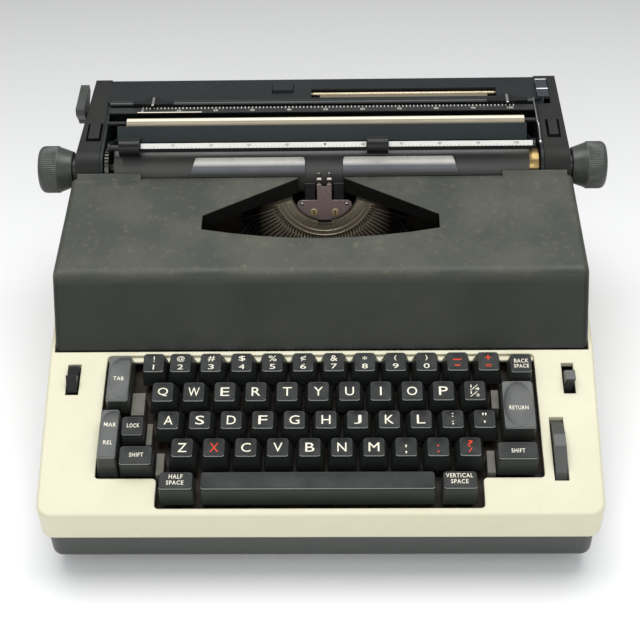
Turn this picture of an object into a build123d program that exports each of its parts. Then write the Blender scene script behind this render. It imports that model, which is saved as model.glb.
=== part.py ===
from build123d import *
import math
import os

# Electric portable typewriter, in millimetres.
# X runs to the typist's right, Y away from the typist, Z up from the desk.
# The origin is on the desk, under the middle of the whole machine.

# Overall body
half_depth = 157.5
front_y = -half_depth
rear_y = half_depth
body_half_rear = 171.5
body_half_front = 167.0
taper_start_y = -45.0
shell_wall = 3.0
shell_corner_r = 9.0

# Feet, tray and deck heights
foot_height = 8.0
foot_r = 9.0
foot_chamfer = 1.2
foot_x = 140.0
foot_y = (-128.0, 130.0)
tray_floor_t = 2.5
tray_wall_t = 2.5
tray_inset = 3.3
tray_corner_r = 7.0
tray_top_z = 33.0
tray_lap = 3.0
tray_post_r = 4.0
tray_post_front = (155.0, -128.0)
tray_post_rear = (160.0, 120.0)
tray_post_rise = (12.0, 30.0)
deck_boss_r = 5.0
deck_lug_t = 6.0
deck_front_z = 53.0
deck_slope_deg = 14.9
deck_rise = math.tan(math.radians(deck_slope_deg))
side_top_z = 96.0
deck_edge_r = 2.0
face_gap = 0.3

# Keyboard, by the usual key pitch
key_pitch = 19.05
first_key_x = -105.6
row_stagger = (0.0, key_pitch / 2, key_pitch * 0.75, key_pitch * 1.25)
row_counts = (12, 11, 11, 10)
row_names = ("number_row_keys", "upper_row_keys", "home_row_keys", "lower_row_keys")
first_row_y = -64.5
first_row_z = 87.0
row_drop = 5.07
cap_height = 13.0
cap_top_w = 12.2
cap_top_d = 11.6
cap_base_w = 17.4
cap_base_d = 17.6
cap_flare = 0.8
cap_heel = 3.0
lever_t = 1.5
lever_low_z = 34.0
lever_high_z = 42.0
stem_half = 3.0
stem_in_cap = 5.5
stem_side_gap = 0.1
pivot_y = 62.0
pivot_z = 38.0
pivot_r = 3.0
running_fit = 0.05

# Keyboard opening and the control slots in the deck
opening_left_x = -134.2
opening_right_x = 133.6
opening_rear_y = -51.9
opening_front_y = -134.2
notch_half_x = 97.2
notch_front_y = -153.0
opening_corner_r = 2.5
deck_back_y = -49.2
power_slot = (-158.4, -150.1, -79.0, -58.0)
selector_slot = (149.9, 157.4, -79.5, -58.5)
dial_slot = (139.1, 147.7, -136.2, -95.4)

# Platen, which the cover, the carriage and the basket are placed by
platen_y = 85.0
platen_z = 126.7
platen_r = 16.5

# Top cover
cover_half_x = 168.2
cover_wall = 2.5
cover_bottom_y = -48.6
cover_bottom_gap = 0.5
cover_crest_y = -21.5
cover_crest_z = 124.2
cover_platen_gap = 1.5
cover_rear_y = platen_y - platen_r - cover_platen_gap
cover_rear_z = 131.6
cover_lip_y = cover_rear_y + 2.2
cover_lip_z = 134.4
cover_lip_t = 1.6
lip_half_gap = 121.2
cover_crest_r = 8.0
cover_side_r = 4.0
basket_half_x = 77.0
basket_gap_half_x = 15.4
basket_front_y = 8.4
basket_side_front_y = 17.3
basket_side_rear_y = 30.2
bevel_low_z = 119.5
bevel_t = 2.0
cover_hinge_y = -31.0
cover_hinge_z = 92.0
cover_pin_r = 2.5
cover_ear_x = (141.0, 146.0)
cover_ear_r = 4.5
bracket_t = 2.0
bracket_r = 4.0

# Steel chassis
frame_x = 136.0
frame_t = 2.0
frame_front_y = -150.0
frame_rear_y = 150.0
guide_drop = 19.0
guide_t = 1.5
guide_front_y = -150.0
guide_rear_y = -52.0
guide_slot_w = 3.1
guide_slot_d = 9.0
bar_t = 4.0
rail_half_x = 151.0
rail_w = 8.0
rail_h = 8.0
rail_top_z = 98.0
front_rail_y = 84.0
rear_rail_y = 138.0
rear_bar_low_z = 76.0
basket_bar_y = (69.5, 75.0)
basket_bar_z = (84.0, 98.0)
frame_foot = (12.0, 60.0, 2.0)
spool_shelf = (12.0, 16.0, 2.0)
spool_post_r = 8.0
lug_x = (34.0, 40.0)
rail_chamfer = 0.8

# Drive
motor_y = 110.0
motor_z = 47.0
motor_r = 27.0
motor_x = (-122.0, -38.0)
motor_shaft_r = 3.0
motor_edge_r = 4.0
bell_t = 3.0
bell_r = 8.0
saddle_inset = 12.0
saddle_half = 22.0
roller_y = 20.0
roller_z = 24.0
roller_r = 8.0
roller_half_x = 126.0
roller_axle_r = 3.0
belt_x = (-133.5, -129.5)
motor_pulley_r = 9.0
roller_pulley_r = 11.5
belt_t = 1.2

# Carriage
platen_half_x = 139.5
platen_shaft_r = 4.0
nose_r = platen_r - 0.3
cap_inner_x = 149.6
cap_front_x = (165.5, 166.6)
cap_rear_x = (161.2, 164.6)
cap_wall = 2.5
plate_x = 147.3
plate_t = 2.0
carriage_rear_y = 157.4
carriage_rear_z = 152.0
carriage_low_z = 98.3
carriage_floor_t = 3.0
carriage_front_y = 78.0
end_cap_low_z = 103.0
plate_rear_y = 150.0
bail_pin_r = 2.0
feed_core_r = 3.8
feed_pin_r = 3.0
feed_band_x = (-90.0, -30.0, 30.0, 90.0)
feed_band_half = 14.0
collar_x = 167.0
collar_r = 8.0
cone_x = (169.5, 179.0)
grip_x = (179.0, 192.5)
knob_neck_r = 12.0
knob_cone_r = 15.2
knob_grip_r = 16.0
knob_flutes = 36
flute_r = 0.9
ratchet_x = (143.6, 146.4)
ratchet_r = 15.0
ratchet_teeth = 36
ratchet_hub_drop = 3.0
ratchet_notch = (10.0, 2.2, 1.3)
shaft_cover = 3.0
grip_edge_r = 1.5
bail_clearance = 5.7
bail_y = platen_y - 6.8
bail_z = platen_z + platen_r + bail_clearance
bail_rod_r = 2.0
bail_arm_x = (141.0, 142.6)
bail_pivot_y = 104.0
bail_pivot_z = 134.0
bail_roller_r = 6.3
bail_roller_w = 14.0
bail_arm_half = 3.0
bail_hub_r = 4.0
scale_tilt_deg = 45.0
bail_roller_x = (-127.7, 37.8)
scale_w = 4.9
scale_drop = 1.25
scale_t = 1.0
table_t = 1.5
table_gap = 2.0
table_low_deg = -32.0
table_high_deg = 50.0
table_side_gap = 1.2
paper_bar_edge_r = 1.2
paper_bar_y = (103.8, 111.2)
paper_bar_z = (146.2, 150.2)
margin_scale_y = (117.2, 123.9)
margin_scale_z = (149.4, 150.6)
margin_rod_y = 126.6
margin_rod_z = 151.4
margin_rod_r = 1.2
stop_x = (-117.1, 128.3)
stop_half_x = 5.0
stop_wing_x = 14.0
stop_fin_half_x = 8.0
stop_fin_tip_x = 2.0
stop_fin_y = (127.5, 133.4)
stop_fin_z = (152.0, 153.2)
stop_body_half = 2.4
stop_wing_half = 2.0
stop_wing_drop = 1.9
stop_wing_rise = 1.8
pointer_half_x = 1.0
pointer_reach = 5.0
rear_cover_y = 129.6
rear_cover_top = 151.6
rear_cover_wall = 2.0
rear_cover_edge_r = 1.2
lug_w = 3.0
lug_half = 3.0
support_slot = (-7.4, 121.8, 133.0, 144.0)
support_gap = 0.8
support_rod_r = 1.4
support_pin_out = 2.5
support_tongue_inset = 6.0
support_tongue_half = 0.9
button_x = (-35.0, -20.0)
button_y = (139.0, 150.0)
button_gap = 0.4
button_crown_y = (141.0, 149.0)
button_z = (146.4, 153.2, 152.4)
feed_angle_deg = -60.0
feed_roller_r = 5.2

# Type basket, in a plane that leans back from the typist
basket_x = 2.0
basket_y = platen_y - platen_r - 3.5
basket_z = 122.0
basket_lean_deg = 12.0
segment_inner_r = 23.4
segment_step_r = 36.0
segment_outer_r = 59.0
segment_back = 5.5
segment_raise = 6.0
segment_half_deg = 72.5
ring_radii = (29.6, 32.8)
ring_w = 1.0
ring_h = 0.8
bar_count = 41
bar_half_deg = 70.0
bar_thick = 1.0
slot_w = 1.4
bar_pivot_r = 52.0
bar_pivot_w = 2.8
bar_rest_deg = 20.0
bar_length = 63.5
bar_tall = 3.0
slug_long = 6.0
slug_tall = 4.3
slug_w = 3.0
guide_plate_t = 0.8
guide_stem_half = 4.9
guide_stem_top = 4.8
guide_bowl_r = 21.4
guide_ear_half = 18.4
guide_ear_drop = 7.0
guide_ear_r = 3.2
guide_notch_r = 2.0
guide_foot_w = 8.0
guide_foot_lap = 1.0
holder_x = (12.8, 91.4)
holder_slant = 5.2
holder_corner_r = 2.2
holder_gap = 0.4
holder_t = 0.7
holder_low_deg = 15.0
holder_high_deg = 59.0
leg_x = (22.0, 29.0)
leg_t = 1.0
leg_top_deg = 39.0
strap_low_deg = 45.0

# Ribbon
spool_x = 112.0
spool_y = 26.0
spool_low_z = 93.0
spool_r = 23.0
spool_h = 13.0
spindle_r = 3.0
spool_flange_t = 1.2
spool_core_r = 16.1
prong_x = 3.4
prong_w = 2.0
prong_low = -14.0
prong_high = 12.5
vibrator_faces = (-1.7, -0.6)
vibrator_foot = 4.0


def block(x0, x1, y0, y1, z0, z1):
    """A box between two corners."""
    return Pos((x0 + x1) / 2, (y0 + y1) / 2, (z0 + z1) / 2) * Box(x1 - x0, y1 - y0, z1 - z0)


def rod(x0, x1, y, z, r):
    """A round bar that lies crosswise."""
    return Pos((x0 + x1) / 2, y, z) * Rot(0, 90, 0) * Cylinder(r, abs(x1 - x0))


def post(x, y, z0, z1, r):
    """A round bar that stands up."""
    return Pos(x, y, (z0 + z1) / 2) * Cylinder(r, z1 - z0)


def side_prism(points, x0, x1):
    """An outline of (y, z) points carried crosswise from x0 to x1."""
    plane = Plane(origin=(x0, 0, 0), x_dir=(0, 1, 0), z_dir=(1, 0, 0))
    return extrude(plane * Polygon(*points, align=None), amount=x1 - x0, dir=(1, 0, 0))


def plan_prism(points, z0, z1):
    """An outline of (x, y) points carried up from z0 to z1."""
    return extrude(Plane.XY.offset(z0) * Polygon(*points, align=None), amount=z1 - z0, dir=(0, 0, 1))


def mirrored(shape):
    return mirror(shape, about=Plane.YZ)


def deck_z(y):
    """Height of the sloping deck at a depth."""
    return deck_front_z + (y - front_y) * deck_rise


def key_z(y):
    """Height of the key tops at a depth."""
    return first_row_z + (y - first_row_y) * row_drop / key_pitch


def guide_z(y):
    """Height of the key guide plate's top at a depth."""
    return key_z(y) - guide_drop


def body_outline(inset):
    """The body in plan, drawn in by a wall thickness."""
    rear = body_half_rear - inset
    front = body_half_front - inset
    y0 = front_y + inset
    y1 = rear_y - inset
    return [(-rear, y1), (-rear, taper_start_y), (-front, y0), (front, y0), (rear, taper_start_y), (rear, y1)]


def level_y():
    """Where the sloping side of the body turns level."""
    return front_y + (side_top_z - deck_front_z) / deck_rise


# Casing

def make_base_tray():
    low = foot_height
    outer = plan_prism(body_outline(tray_inset), low, tray_top_z)
    outer = fillet(outer.edges().filter_by(Axis.Z), tray_corner_r)
    outer = fillet(outer.faces().sort_by(Axis.Z)[0].edges(), tray_corner_r - 1.0)
    lap = plan_prism(body_outline(shell_wall + face_gap), tray_top_z - 1.0, tray_top_z + tray_lap)
    lap = fillet(lap.edges().filter_by(Axis.Z), tray_corner_r)
    inner = plan_prism(body_outline(tray_inset + tray_wall_t), low + tray_floor_t, tray_top_z + 2 * tray_lap)
    inner = fillet(inner.edges().filter_by(Axis.Z), tray_corner_r - tray_wall_t)
    tray = outer + lap - inner
    for x, y in tray_posts():
        tray += post(x, y, low + tray_floor_t - 0.5, seat_z(y), tray_post_r)
    return tray


def tray_posts():
    """Where the deck is screwed down to the tray."""
    return [(side * x, y) for x, y in (tray_post_front, tray_post_rear) for side in (-1, 1)]


def seat_z(y):
    """Height at which a tray post meets its boss."""
    return tray_top_z + (tray_post_rise[0] if y < 0 else tray_post_rise[1])


def foot_places():
    return [(side * foot_x, y) for y in foot_y for side in (-1, 1)]


def make_rubber_feet():
    feet = []
    for x, y in foot_places():
        foot = post(x, y, 0, foot_height, foot_r)
        foot = chamfer(foot.faces().sort_by(Axis.Z)[0].edges(), foot_chamfer)
        feet.append(foot)
    return feet


def deck_side(inset):
    """Side view of the deck shell, drawn down by a wall thickness."""
    drop = inset / math.cos(math.radians(deck_slope_deg))
    turn = level_y()
    return [(front_y - 1, tray_top_z), (front_y - 1, deck_z(front_y - 1) - drop),
            (turn, side_top_z - drop), (rear_y + 1, side_top_z - drop), (rear_y + 1, tray_top_z)]


def make_keyboard_deck():
    blank = plan_prism(body_outline(0), tray_top_z, side_top_z + 20)
    blank = fillet(blank.edges().filter_by(Axis.Z), shell_corner_r)
    wide = body_half_rear + 5
    shell = blank & side_prism(deck_side(0), -wide, wide)
    slope = [f for f in shell.faces() if 0.2 < abs(f.normal_at().Y) < 0.3 and f.normal_at().Z > 0.9]
    rims = [e for f in slope for e in f.edges() if e.center().Y < level_y() - 5]
    shell = fillet(rims, deck_edge_r)
    cavity = plan_prism(body_outline(shell_wall), tray_top_z - 1, side_top_z + 20)
    cavity = fillet(cavity.edges().filter_by(Axis.Z), shell_corner_r - shell_wall)
    low_side = [(y, z - 1 if z == tray_top_z else z) for y, z in deck_side(shell_wall)]
    under = cavity & side_prism(low_side, -wide, wide)
    open_back = cavity & block(-wide, wide, deck_back_y, rear_y, tray_top_z - 1, side_top_z + 20)
    deck = shell - under - open_back
    window = plan_prism([(opening_left_x, opening_rear_y), (opening_left_x, opening_front_y),
                         (-notch_half_x, opening_front_y), (-notch_half_x, notch_front_y),
                         (notch_half_x, notch_front_y), (notch_half_x, opening_front_y),
                         (opening_right_x, opening_front_y), (opening_right_x, opening_rear_y)],
                        tray_top_z + 5, side_top_z)
    window = fillet(window.edges().filter_by(Axis.Z), opening_corner_r)
    deck -= window
    for x0, x1, y0, y1 in (power_slot, selector_slot, dial_slot):
        deck -= block(x0, x1, y0, y1, tray_top_z + 5, side_top_z)
    for x, y in tray_posts():
        if y < 0:
            boss_top = deck_z(y) - shell_wall + 1.0
            deck += post(x, y, seat_z(y), boss_top, deck_boss_r)
        else:
            reach = deck_boss_r
            lug_x = (x - reach, body_half_rear - 1) if x > 0 else (-body_half_rear + 1, x + reach)
            deck += block(lug_x[0], lug_x[1], y - reach, y + reach, seat_z(y), seat_z(y) + deck_lug_t)
    rear_socket = block(inlet_x - inlet_w / 2, inlet_x + inlet_w / 2, rear_y - 10, rear_y + 5,
                        inlet_z - inlet_h / 2, inlet_z + inlet_h / 2)
    return deck - rear_socket


def cover_top_z(y):
    """Height of the cover's top at a depth."""
    share = (y - cover_crest_y) / (cover_rear_y - cover_crest_y)
    return cover_crest_z + share * (cover_rear_z - cover_crest_z)


def make_top_cover():
    seam = side_top_z + cover_bottom_gap
    bottom = deck_z(cover_bottom_y) + cover_bottom_gap
    outline = [(cover_bottom_y, bottom), (cover_crest_y, cover_crest_z), (cover_rear_y, cover_rear_z),
               (cover_rear_y, seam), (level_y(), seam)]
    cover = side_prism(outline, -cover_half_x, cover_half_x)
    crest = cover.edges().filter_by(Axis.X).sort_by_distance((0, cover_crest_y, cover_crest_z))[0]
    cover = fillet(crest, cover_crest_r)
    rims = [e for e in cover.faces().filter_by(Axis.X).edges()
            if e.center().Z > cover_crest_z - 2 and abs(e.center().X) > cover_half_x - 1]
    cover = fillet(rims, cover_side_r)
    envelope = cover
    front_slope = math.atan2(cover_crest_z - bottom, cover_crest_y - cover_bottom_y)
    back_shift = cover_wall / math.sin(front_slope)
    drop = cover_wall * 1.01
    inner_crest_z = cover_crest_z - drop
    inner_crest_y = cover_crest_y + back_shift - drop / math.tan(front_slope)
    low = 40.0
    inner = side_prism([(cover_bottom_y + back_shift - low / math.tan(front_slope), bottom - low),
                        (inner_crest_y, inner_crest_z + (inner_crest_y - cover_crest_y) * 0.08),
                        (cover_rear_y + 5, cover_top_z(cover_rear_y + 5) - drop),
                        (cover_rear_y + 5, bottom - low)],
                       -cover_half_x + cover_wall, cover_half_x - cover_wall)
    cover -= inner
    for side in (-1, 1):
        x0, x1 = sorted((side * lip_half_gap, side * (cover_half_x - cover_side_r)))
        cover += side_prism([(cover_rear_y - 3.0, cover_top_z(cover_rear_y - 3.0) - 0.5),
                             (cover_lip_y, cover_lip_z), (cover_lip_y, cover_lip_z - cover_lip_t),
                             (cover_rear_y, cover_rear_z - cover_wall + 0.3),
                             (cover_rear_y - 3.0, cover_top_z(cover_rear_y - 3.0) - cover_wall + 0.3)], x0, x1)
    # the flange that hangs from the slanting edges of the type opening
    for side in (-1, 1):
        run = [(side * (basket_gap_half_x - 3), cover_rear_y - 0.8), (side * basket_half_x, basket_side_rear_y)]
        dx = run[1][0] - run[0][0]
        dy = run[1][1] - run[0][1]
        long = math.hypot(dx, dy)
        ox = -dy / long * bevel_t * side
        oy = dx / long * bevel_t * side
        shifted = [(x + ox, y + oy) for x, y in reversed(run)]
        flange = plan_prism(run + shifted,
                            bevel_low_z, cover_rear_z + 5)
        cover += flange & envelope
    steps = 8
    bow = []
    for i in range(steps + 1):
        x = -basket_half_x + 2 * basket_half_x * i / steps
        share = (x / basket_half_x) ** 2
        bow.append((x, basket_front_y + share * (basket_side_front_y - basket_front_y)))
    hole = plan_prism([(-basket_half_x, basket_side_rear_y)] + bow
                      + [(basket_half_x, basket_side_rear_y), (basket_gap_half_x, cover_rear_y - 0.8),
                         (basket_gap_half_x, cover_rear_y + 5), (-basket_gap_half_x, cover_rear_y + 5),
                         (-basket_gap_half_x, cover_rear_y - 0.8)],
                      bevel_low_z - 5, cover_rear_z + 5)
    cover -= hole
    for side in (-1, 1):
        x0, x1 = sorted((side * cover_ear_x[0], side * cover_ear_x[1]))
        wall_y = cover_bottom_y + 1.0
        ear = rod(x0, x1, cover_hinge_y, cover_hinge_z, cover_ear_r)
        ear += block(x0, x1, wall_y, cover_hinge_y, cover_hinge_z - 3.0, cover_hinge_z + cover_ear_r)
        front = side_prism([(cover_bottom_y, bottom), (cover_crest_y, cover_crest_z), (60, cover_crest_z),
                            (60, bottom)], x0, x1)
        cover += ear & front
        cover -= rod(x0 - 1, x1 + 1, cover_hinge_y, cover_hinge_z, cover_pin_r + running_fit)
    return cover


def make_cover_brackets():
    brackets = []
    x0 = frame_x + frame_t
    low = guide_z(cover_hinge_y) - 12.0
    bracket = block(x0, x0 + bracket_t, cover_hinge_y - 2, cover_hinge_y + 6, low, cover_hinge_z)
    bracket += rod(x0, x0 + bracket_t, cover_hinge_y, cover_hinge_z, bracket_r)
    bracket += rod(x0, cover_ear_x[1] + 1.0, cover_hinge_y, cover_hinge_z, cover_pin_r)
    brackets.append(bracket)
    brackets.append(mirrored(bracket))
    return brackets


# Chassis

def make_side_frames():
    floor = foot_height + tray_floor_t
    under = guide_t
    outline = [(frame_front_y, floor), (frame_rear_y, floor), (frame_rear_y, rail_top_z - rail_h),
               (0.0, rail_top_z - rail_h), (-10.0, guide_z(guide_rear_y) - under),
               (guide_rear_y, guide_z(guide_rear_y) - under), (frame_front_y, guide_z(frame_front_y) - under)]
    plate = side_prism(outline, frame_x, frame_x + frame_t)
    wide, half, thick = frame_foot
    foot = block(frame_x, frame_x + wide, -half, half, floor, floor + thick)
    wide, half, thick = spool_shelf
    shelf = block(spool_x - wide, frame_x + frame_t, spool_y - half, spool_y + half,
                  rail_top_z - rail_h, rail_top_z - rail_h + thick)
    frame = plate + foot + shelf
    frame += post(spool_x, spool_y, rail_top_z - rail_h + 1, spool_low_z, spool_post_r)
    frame += post(spool_x, spool_y, rail_top_z - rail_h + 1, spool_low_z + spool_h + 3, spindle_r)
    left = mirrored(frame)
    dial_y, dial_z = dial_axis()
    right = frame + rod(frame_x + frame_t - 0.5, dial_slot[1] + 1.5, dial_y, dial_z, dial_axle_r)
    return [left, right]


def dial_axis():
    """The dial's axis, square below the middle of its slot."""
    y = (dial_slot[2] + dial_slot[3]) / 2
    slope = math.radians(deck_slope_deg)
    return y + dial_sink * math.sin(slope), deck_z(y) - dial_sink * math.cos(slope)


def make_cross_bars():
    floor = foot_height + tray_floor_t
    front = block(-frame_x, frame_x, frame_front_y + 2, frame_front_y + 2 + bar_t, floor, lever_low_z - 6)
    rear = block(-frame_x, frame_x, frame_rear_y - 2 - bar_t, frame_rear_y - 2, rear_bar_low_z,
                 rail_top_z - rail_h)
    pivot = rod(-frame_x, frame_x, pivot_y, pivot_z, pivot_r)
    basket = block(-frame_x, frame_x, basket_bar_y[0], basket_bar_y[1], basket_bar_z[0], basket_bar_z[1])
    # two slide lugs that the type segment runs against
    for x0, x1 in ((-lug_x[1], -lug_x[0]), lug_x):
        lug = [(basket_bar_y[0] + 1, basket_bar_z[0])]
        for z in (basket_bar_z[0], basket_bar_z[1]):
            lug.append((segment_back_y(z) + face_gap, z))
        lug.append((basket_bar_y[0] + 1, basket_bar_z[1]))
        basket += side_prism(lug, x0, x1)
    return [front, rear, pivot, basket]


def segment_back_y(z):
    """Depth of the segment's back face at a height."""
    lean = math.radians(basket_lean_deg)
    return basket_y + (z - basket_z) * math.tan(lean) + segment_back / math.cos(lean)


def make_carriage_rails():
    rails = []
    for y in (front_rail_y, rear_rail_y):
        rail = block(-rail_half_x, rail_half_x, y - rail_w / 2, y + rail_w / 2, rail_top_z - rail_h, rail_top_z)
        rails.append(chamfer(rail.edges().filter_by(Axis.X), rail_chamfer))
    return rails


def make_key_guide_plate():
    plate = side_prism([(guide_front_y, guide_z(guide_front_y)), (guide_rear_y, guide_z(guide_rear_y)),
                        (guide_rear_y, guide_z(guide_rear_y) - guide_t),
                        (guide_front_y, guide_z(guide_front_y) - guide_t)],
                       -frame_x - frame_t, frame_x + frame_t)
    for x, y in stem_places():
        plate -= block(x - guide_slot_w / 2, x + guide_slot_w / 2, y - guide_slot_d / 2, y + guide_slot_d / 2,
                       guide_z(y) - 6, guide_z(y) + 6)
    return plate


def make_filler_plates():
    """Small steel plates that fill the steps at the ends of the key rows."""
    fillers = []
    for x, y, w, d in filler_places:
        low = guide_z(y)
        top = deck_z(y) + 1.0
        rise = d / 2 * row_drop / key_pitch
        fillers.append(side_prism([(y - d / 2, low - rise), (y + d / 2, low + rise),
                                   (y + d / 2, top + rise), (y - d / 2, top - rise)], x - w / 2, x + w / 2))
    return fillers


filler_places = ((-111.8, -86.2, 8.0, 15.0), (-103.3, -106.5, 3.4, 14.0), (-95.4, -125.8, 4.6, 14.0),
                 (107.2, -84.0, 4.4, 12.4), (102.2, -124.8, 4.8, 14.0))


# Power inlet at the rear
inlet_x = 110.0
inlet_z = 54.0
inlet_w = 30.0
inlet_h = 22.0
inlet_flange = 4.0
inlet_deep = 20.0
inlet_gap = 0.2
inlet_wall = 4.0
inlet_back = 3.0
pin_r = 1.6
pin_length = 13.0
pin_half_pitch = 6.0


def make_power_inlet():
    """A recessed mains socket with its pins, held in the rear wall."""
    gap = inlet_gap
    inlet = block(inlet_x - inlet_w / 2 + gap, inlet_x + inlet_w / 2 - gap, rear_y - inlet_deep, rear_y,
                  inlet_z - inlet_h / 2 + gap, inlet_z + inlet_h / 2 - gap)
    back = rear_y - shell_wall
    inlet += block(inlet_x - inlet_w / 2 - inlet_flange, inlet_x + inlet_w / 2 + inlet_flange, back - 2.0, back,
                   inlet_z - inlet_h / 2 - inlet_flange, inlet_z + inlet_h / 2 + inlet_flange)
    recess_w = inlet_w - 2 * inlet_wall
    recess_h = inlet_h - 2 * inlet_wall
    recess_end = rear_y - inlet_deep + inlet_back
    inlet -= block(inlet_x - recess_w / 2, inlet_x + recess_w / 2, recess_end, rear_y + 1,
                   inlet_z - recess_h / 2, inlet_z + recess_h / 2)
    for dx in (-pin_half_pitch, pin_half_pitch):
        place = Pos(inlet_x + dx, recess_end + pin_length / 2 - 0.5, inlet_z)
        pin = place * Rot(90, 0, 0) * Cylinder(pin_r, pin_length)
        inlet += pin
    return inlet


# Drive

def make_motor():
    body = rod(motor_x[0], motor_x[1], motor_y, motor_z, motor_r)
    body = fillet(body.edges().filter_by(GeomType.CIRCLE), motor_edge_r)
    bell = rod(motor_x[0] - bell_t, motor_x[0] + 1, motor_y, motor_z, bell_r)
    floor = foot_height + tray_floor_t
    saddle = block(motor_x[0] + saddle_inset, motor_x[1] - saddle_inset, motor_y - saddle_half,
                   motor_y + saddle_half, floor, motor_z - motor_r + 5)
    return body + bell + saddle


def make_motor_pulley():
    shaft = rod(belt_x[0] - 0.5, motor_x[0] - bell_t - face_gap, motor_y, motor_z, motor_shaft_r)
    wheel = rod(belt_x[0], belt_x[1], motor_y, motor_z, motor_pulley_r)
    return shaft + wheel


def make_power_roller():
    drum = rod(-roller_half_x, roller_half_x, roller_y, roller_z, roller_r)
    wheel = rod(belt_x[0], belt_x[1], roller_y, roller_z, roller_pulley_r)
    axle = rod(-frame_x + face_gap, frame_x - face_gap, roller_y, roller_z, roller_axle_r)
    return drum + wheel + axle


def make_drive_belt():
    grow = face_gap
    loops = []
    for extra in (grow, grow + belt_t):
        big = Pos(roller_y, roller_z) * Circle(roller_pulley_r + extra)
        small = Pos(motor_y, motor_z) * Circle(motor_pulley_r + extra)
        loops.append(make_hull(big.edges() + small.edges()))
    plane = Plane(origin=(belt_x[0] + 0.5, 0, 0), x_dir=(0, 1, 0), z_dir=(1, 0, 0))
    width = belt_x[1] - belt_x[0] - 1.0
    outer = extrude(plane * loops[1], amount=width)
    inner = extrude(plane * loops[0], amount=width)
    return outer - inner


# Keys

def cap(x, y, top_w, top_d, base_w, base_d, base_dy=0.0):
    """A key top with its flared skirt, tilted with the deck."""
    base = Plane.XY.offset(-cap_height) * Pos(0, base_dy) * Rectangle(base_w, base_d)
    top = Rectangle(top_w, top_d)
    shape = loft([base.face(), top.face()])
    return Pos(x, y, key_z(y)) * Rot(deck_slope_deg, 0, 0) * shape


def lever(x, y):
    """A flat steel key lever with its upright stem."""
    outline = [(y - stem_half, lever_low_z), (pivot_y + 6, lever_low_z), (pivot_y + 6, lever_high_z),
               (y + stem_half, lever_high_z), (y + stem_half, stem_top(y)), (y - stem_half, stem_top(y))]
    blade = side_prism(outline, x - lever_t / 2, x + lever_t / 2)
    return blade - rod(x - lever_t, x + lever_t, pivot_y, pivot_z, pivot_r + running_fit)


def stem_top(y):
    return key_z(y) - cap_height + stem_in_cap


def stem_pocket(x, y):
    gap = stem_side_gap
    return block(x - lever_t / 2 - gap, x + lever_t / 2 + gap, y - stem_half - gap, y + stem_half + gap,
                 key_z(y) - cap_height - 6, stem_top(y) + gap)


def make_key(x, y, top_w, top_d, base_w, base_d, stems, base_dy=0.0):
    head = cap(x, y, top_w, top_d, base_w, base_d, base_dy)
    solids = []
    for stem in stems:
        head -= stem_pocket(stem, y)
        solids.append(lever(stem, y))
    return [head] + solids


def make_row(row):
    y = first_row_y - row * key_pitch
    solids = []
    for i in range(row_counts[row]):
        x = first_key_x + row_stagger[row] + i * key_pitch
        if row == 0 and i == 0:
            # the first cap of the number row is narrower and set towards its neighbour
            solids += make_key(x + end_cap_shift, y, cap_top_w, cap_top_d, end_cap_base_w, cap_base_d, [x])
        else:
            solids += make_key(x, y, cap_top_w, cap_top_d, cap_base_w, cap_base_d, [x])
    return solids


end_cap_shift = 2.4
end_cap_base_w = 14.8


def function_key(x, y, top_w, top_d, stems, base_dy=0.0):
    return (x, y, top_w, top_d, top_w + 2 * cap_flare, top_d + 2 * cap_flare + cap_heel, stems, base_dy)


bottom_row_y = first_row_y - 4 * key_pitch - 1.0
function_keys = {
    "tab_key": function_key(-124.0, -74.8, 13.4, 31.2, (-124.6,)),
    "margin_release_key": function_key(-126.8, -111.6, 10.8, 32.0, (-127.4,), -5.0),
    "lock_key": function_key(-112.8, -106.6, 12.6, 12.0, (-113.0,)),
    "shift_key_left": function_key(-109.3, -125.6, 19.0, 11.6, (-109.4,)),
    "backspace_key": function_key(123.9, -65.6, 12.6, 12.4, (123.6,)),
    "return_key": function_key(120.4, -93.6, 18.4, 32.0, (120.2,)),
    "shift_key_right": function_key(117.6, -123.4, 23.2, 10.6, (116.8,), -2.4),
    "half_space_key": function_key(-84.2, bottom_row_y, 19.4, 10.4, (-84.0,), -2.4),
    "space_bar": function_key(-0.9, bottom_row_y, 137.2, 10.4, (-41.3, 39.65), -2.4),
    "vertical_space_key": function_key(82.6, bottom_row_y, 19.4, 10.4, (82.5,), -2.4),
}


def stem_places():
    places = []
    for row in range(4):
        y = first_row_y - row * key_pitch
        for i in range(row_counts[row]):
            places.append((first_key_x + row_stagger[row] + i * key_pitch, y))
    for x, y, top_w, top_d, base_w, base_d, stems, base_dy in function_keys.values():
        for stem in stems:
            places.append((stem, y))
    return places


# Deck controls

dial_sink = 19.3
dial_r = 26.0
dial_axle_r = 3.0
dial_facets = 20
rocker_pivot_drop = 5.0
rocker_pin_r = 1.5
rocker_side_gap = 0.8
housing_half = 14.0
housing_wall = 1.5
housing_deep = 14.0


def slot_middle(slot):
    return (slot[0] + slot[1]) / 2, (slot[2] + slot[3]) / 2


def make_power_rocker():
    """A V-shaped rocker on its pin, inside the left slot."""
    x, y = slot_middle(power_slot)
    z = deck_z(y) - rocker_pivot_drop
    half = (power_slot[1] - power_slot[0]) / 2 - rocker_side_gap
    outline = [(y - 8.0, z + 1.5), (y - 3.0, z + 12.0), (y + 1.0, z + 6.5), (y + 6.5, z + 10.5),
               (y + 8.0, z + 7.0), (y + 3.0, z - 5.0), (y - 3.0, z - 5.0)]
    bore = rod(x - half - 1, x + half + 1, y, z, rocker_pin_r + running_fit)
    return side_prism(outline, x - half, x + half) - bore


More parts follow.
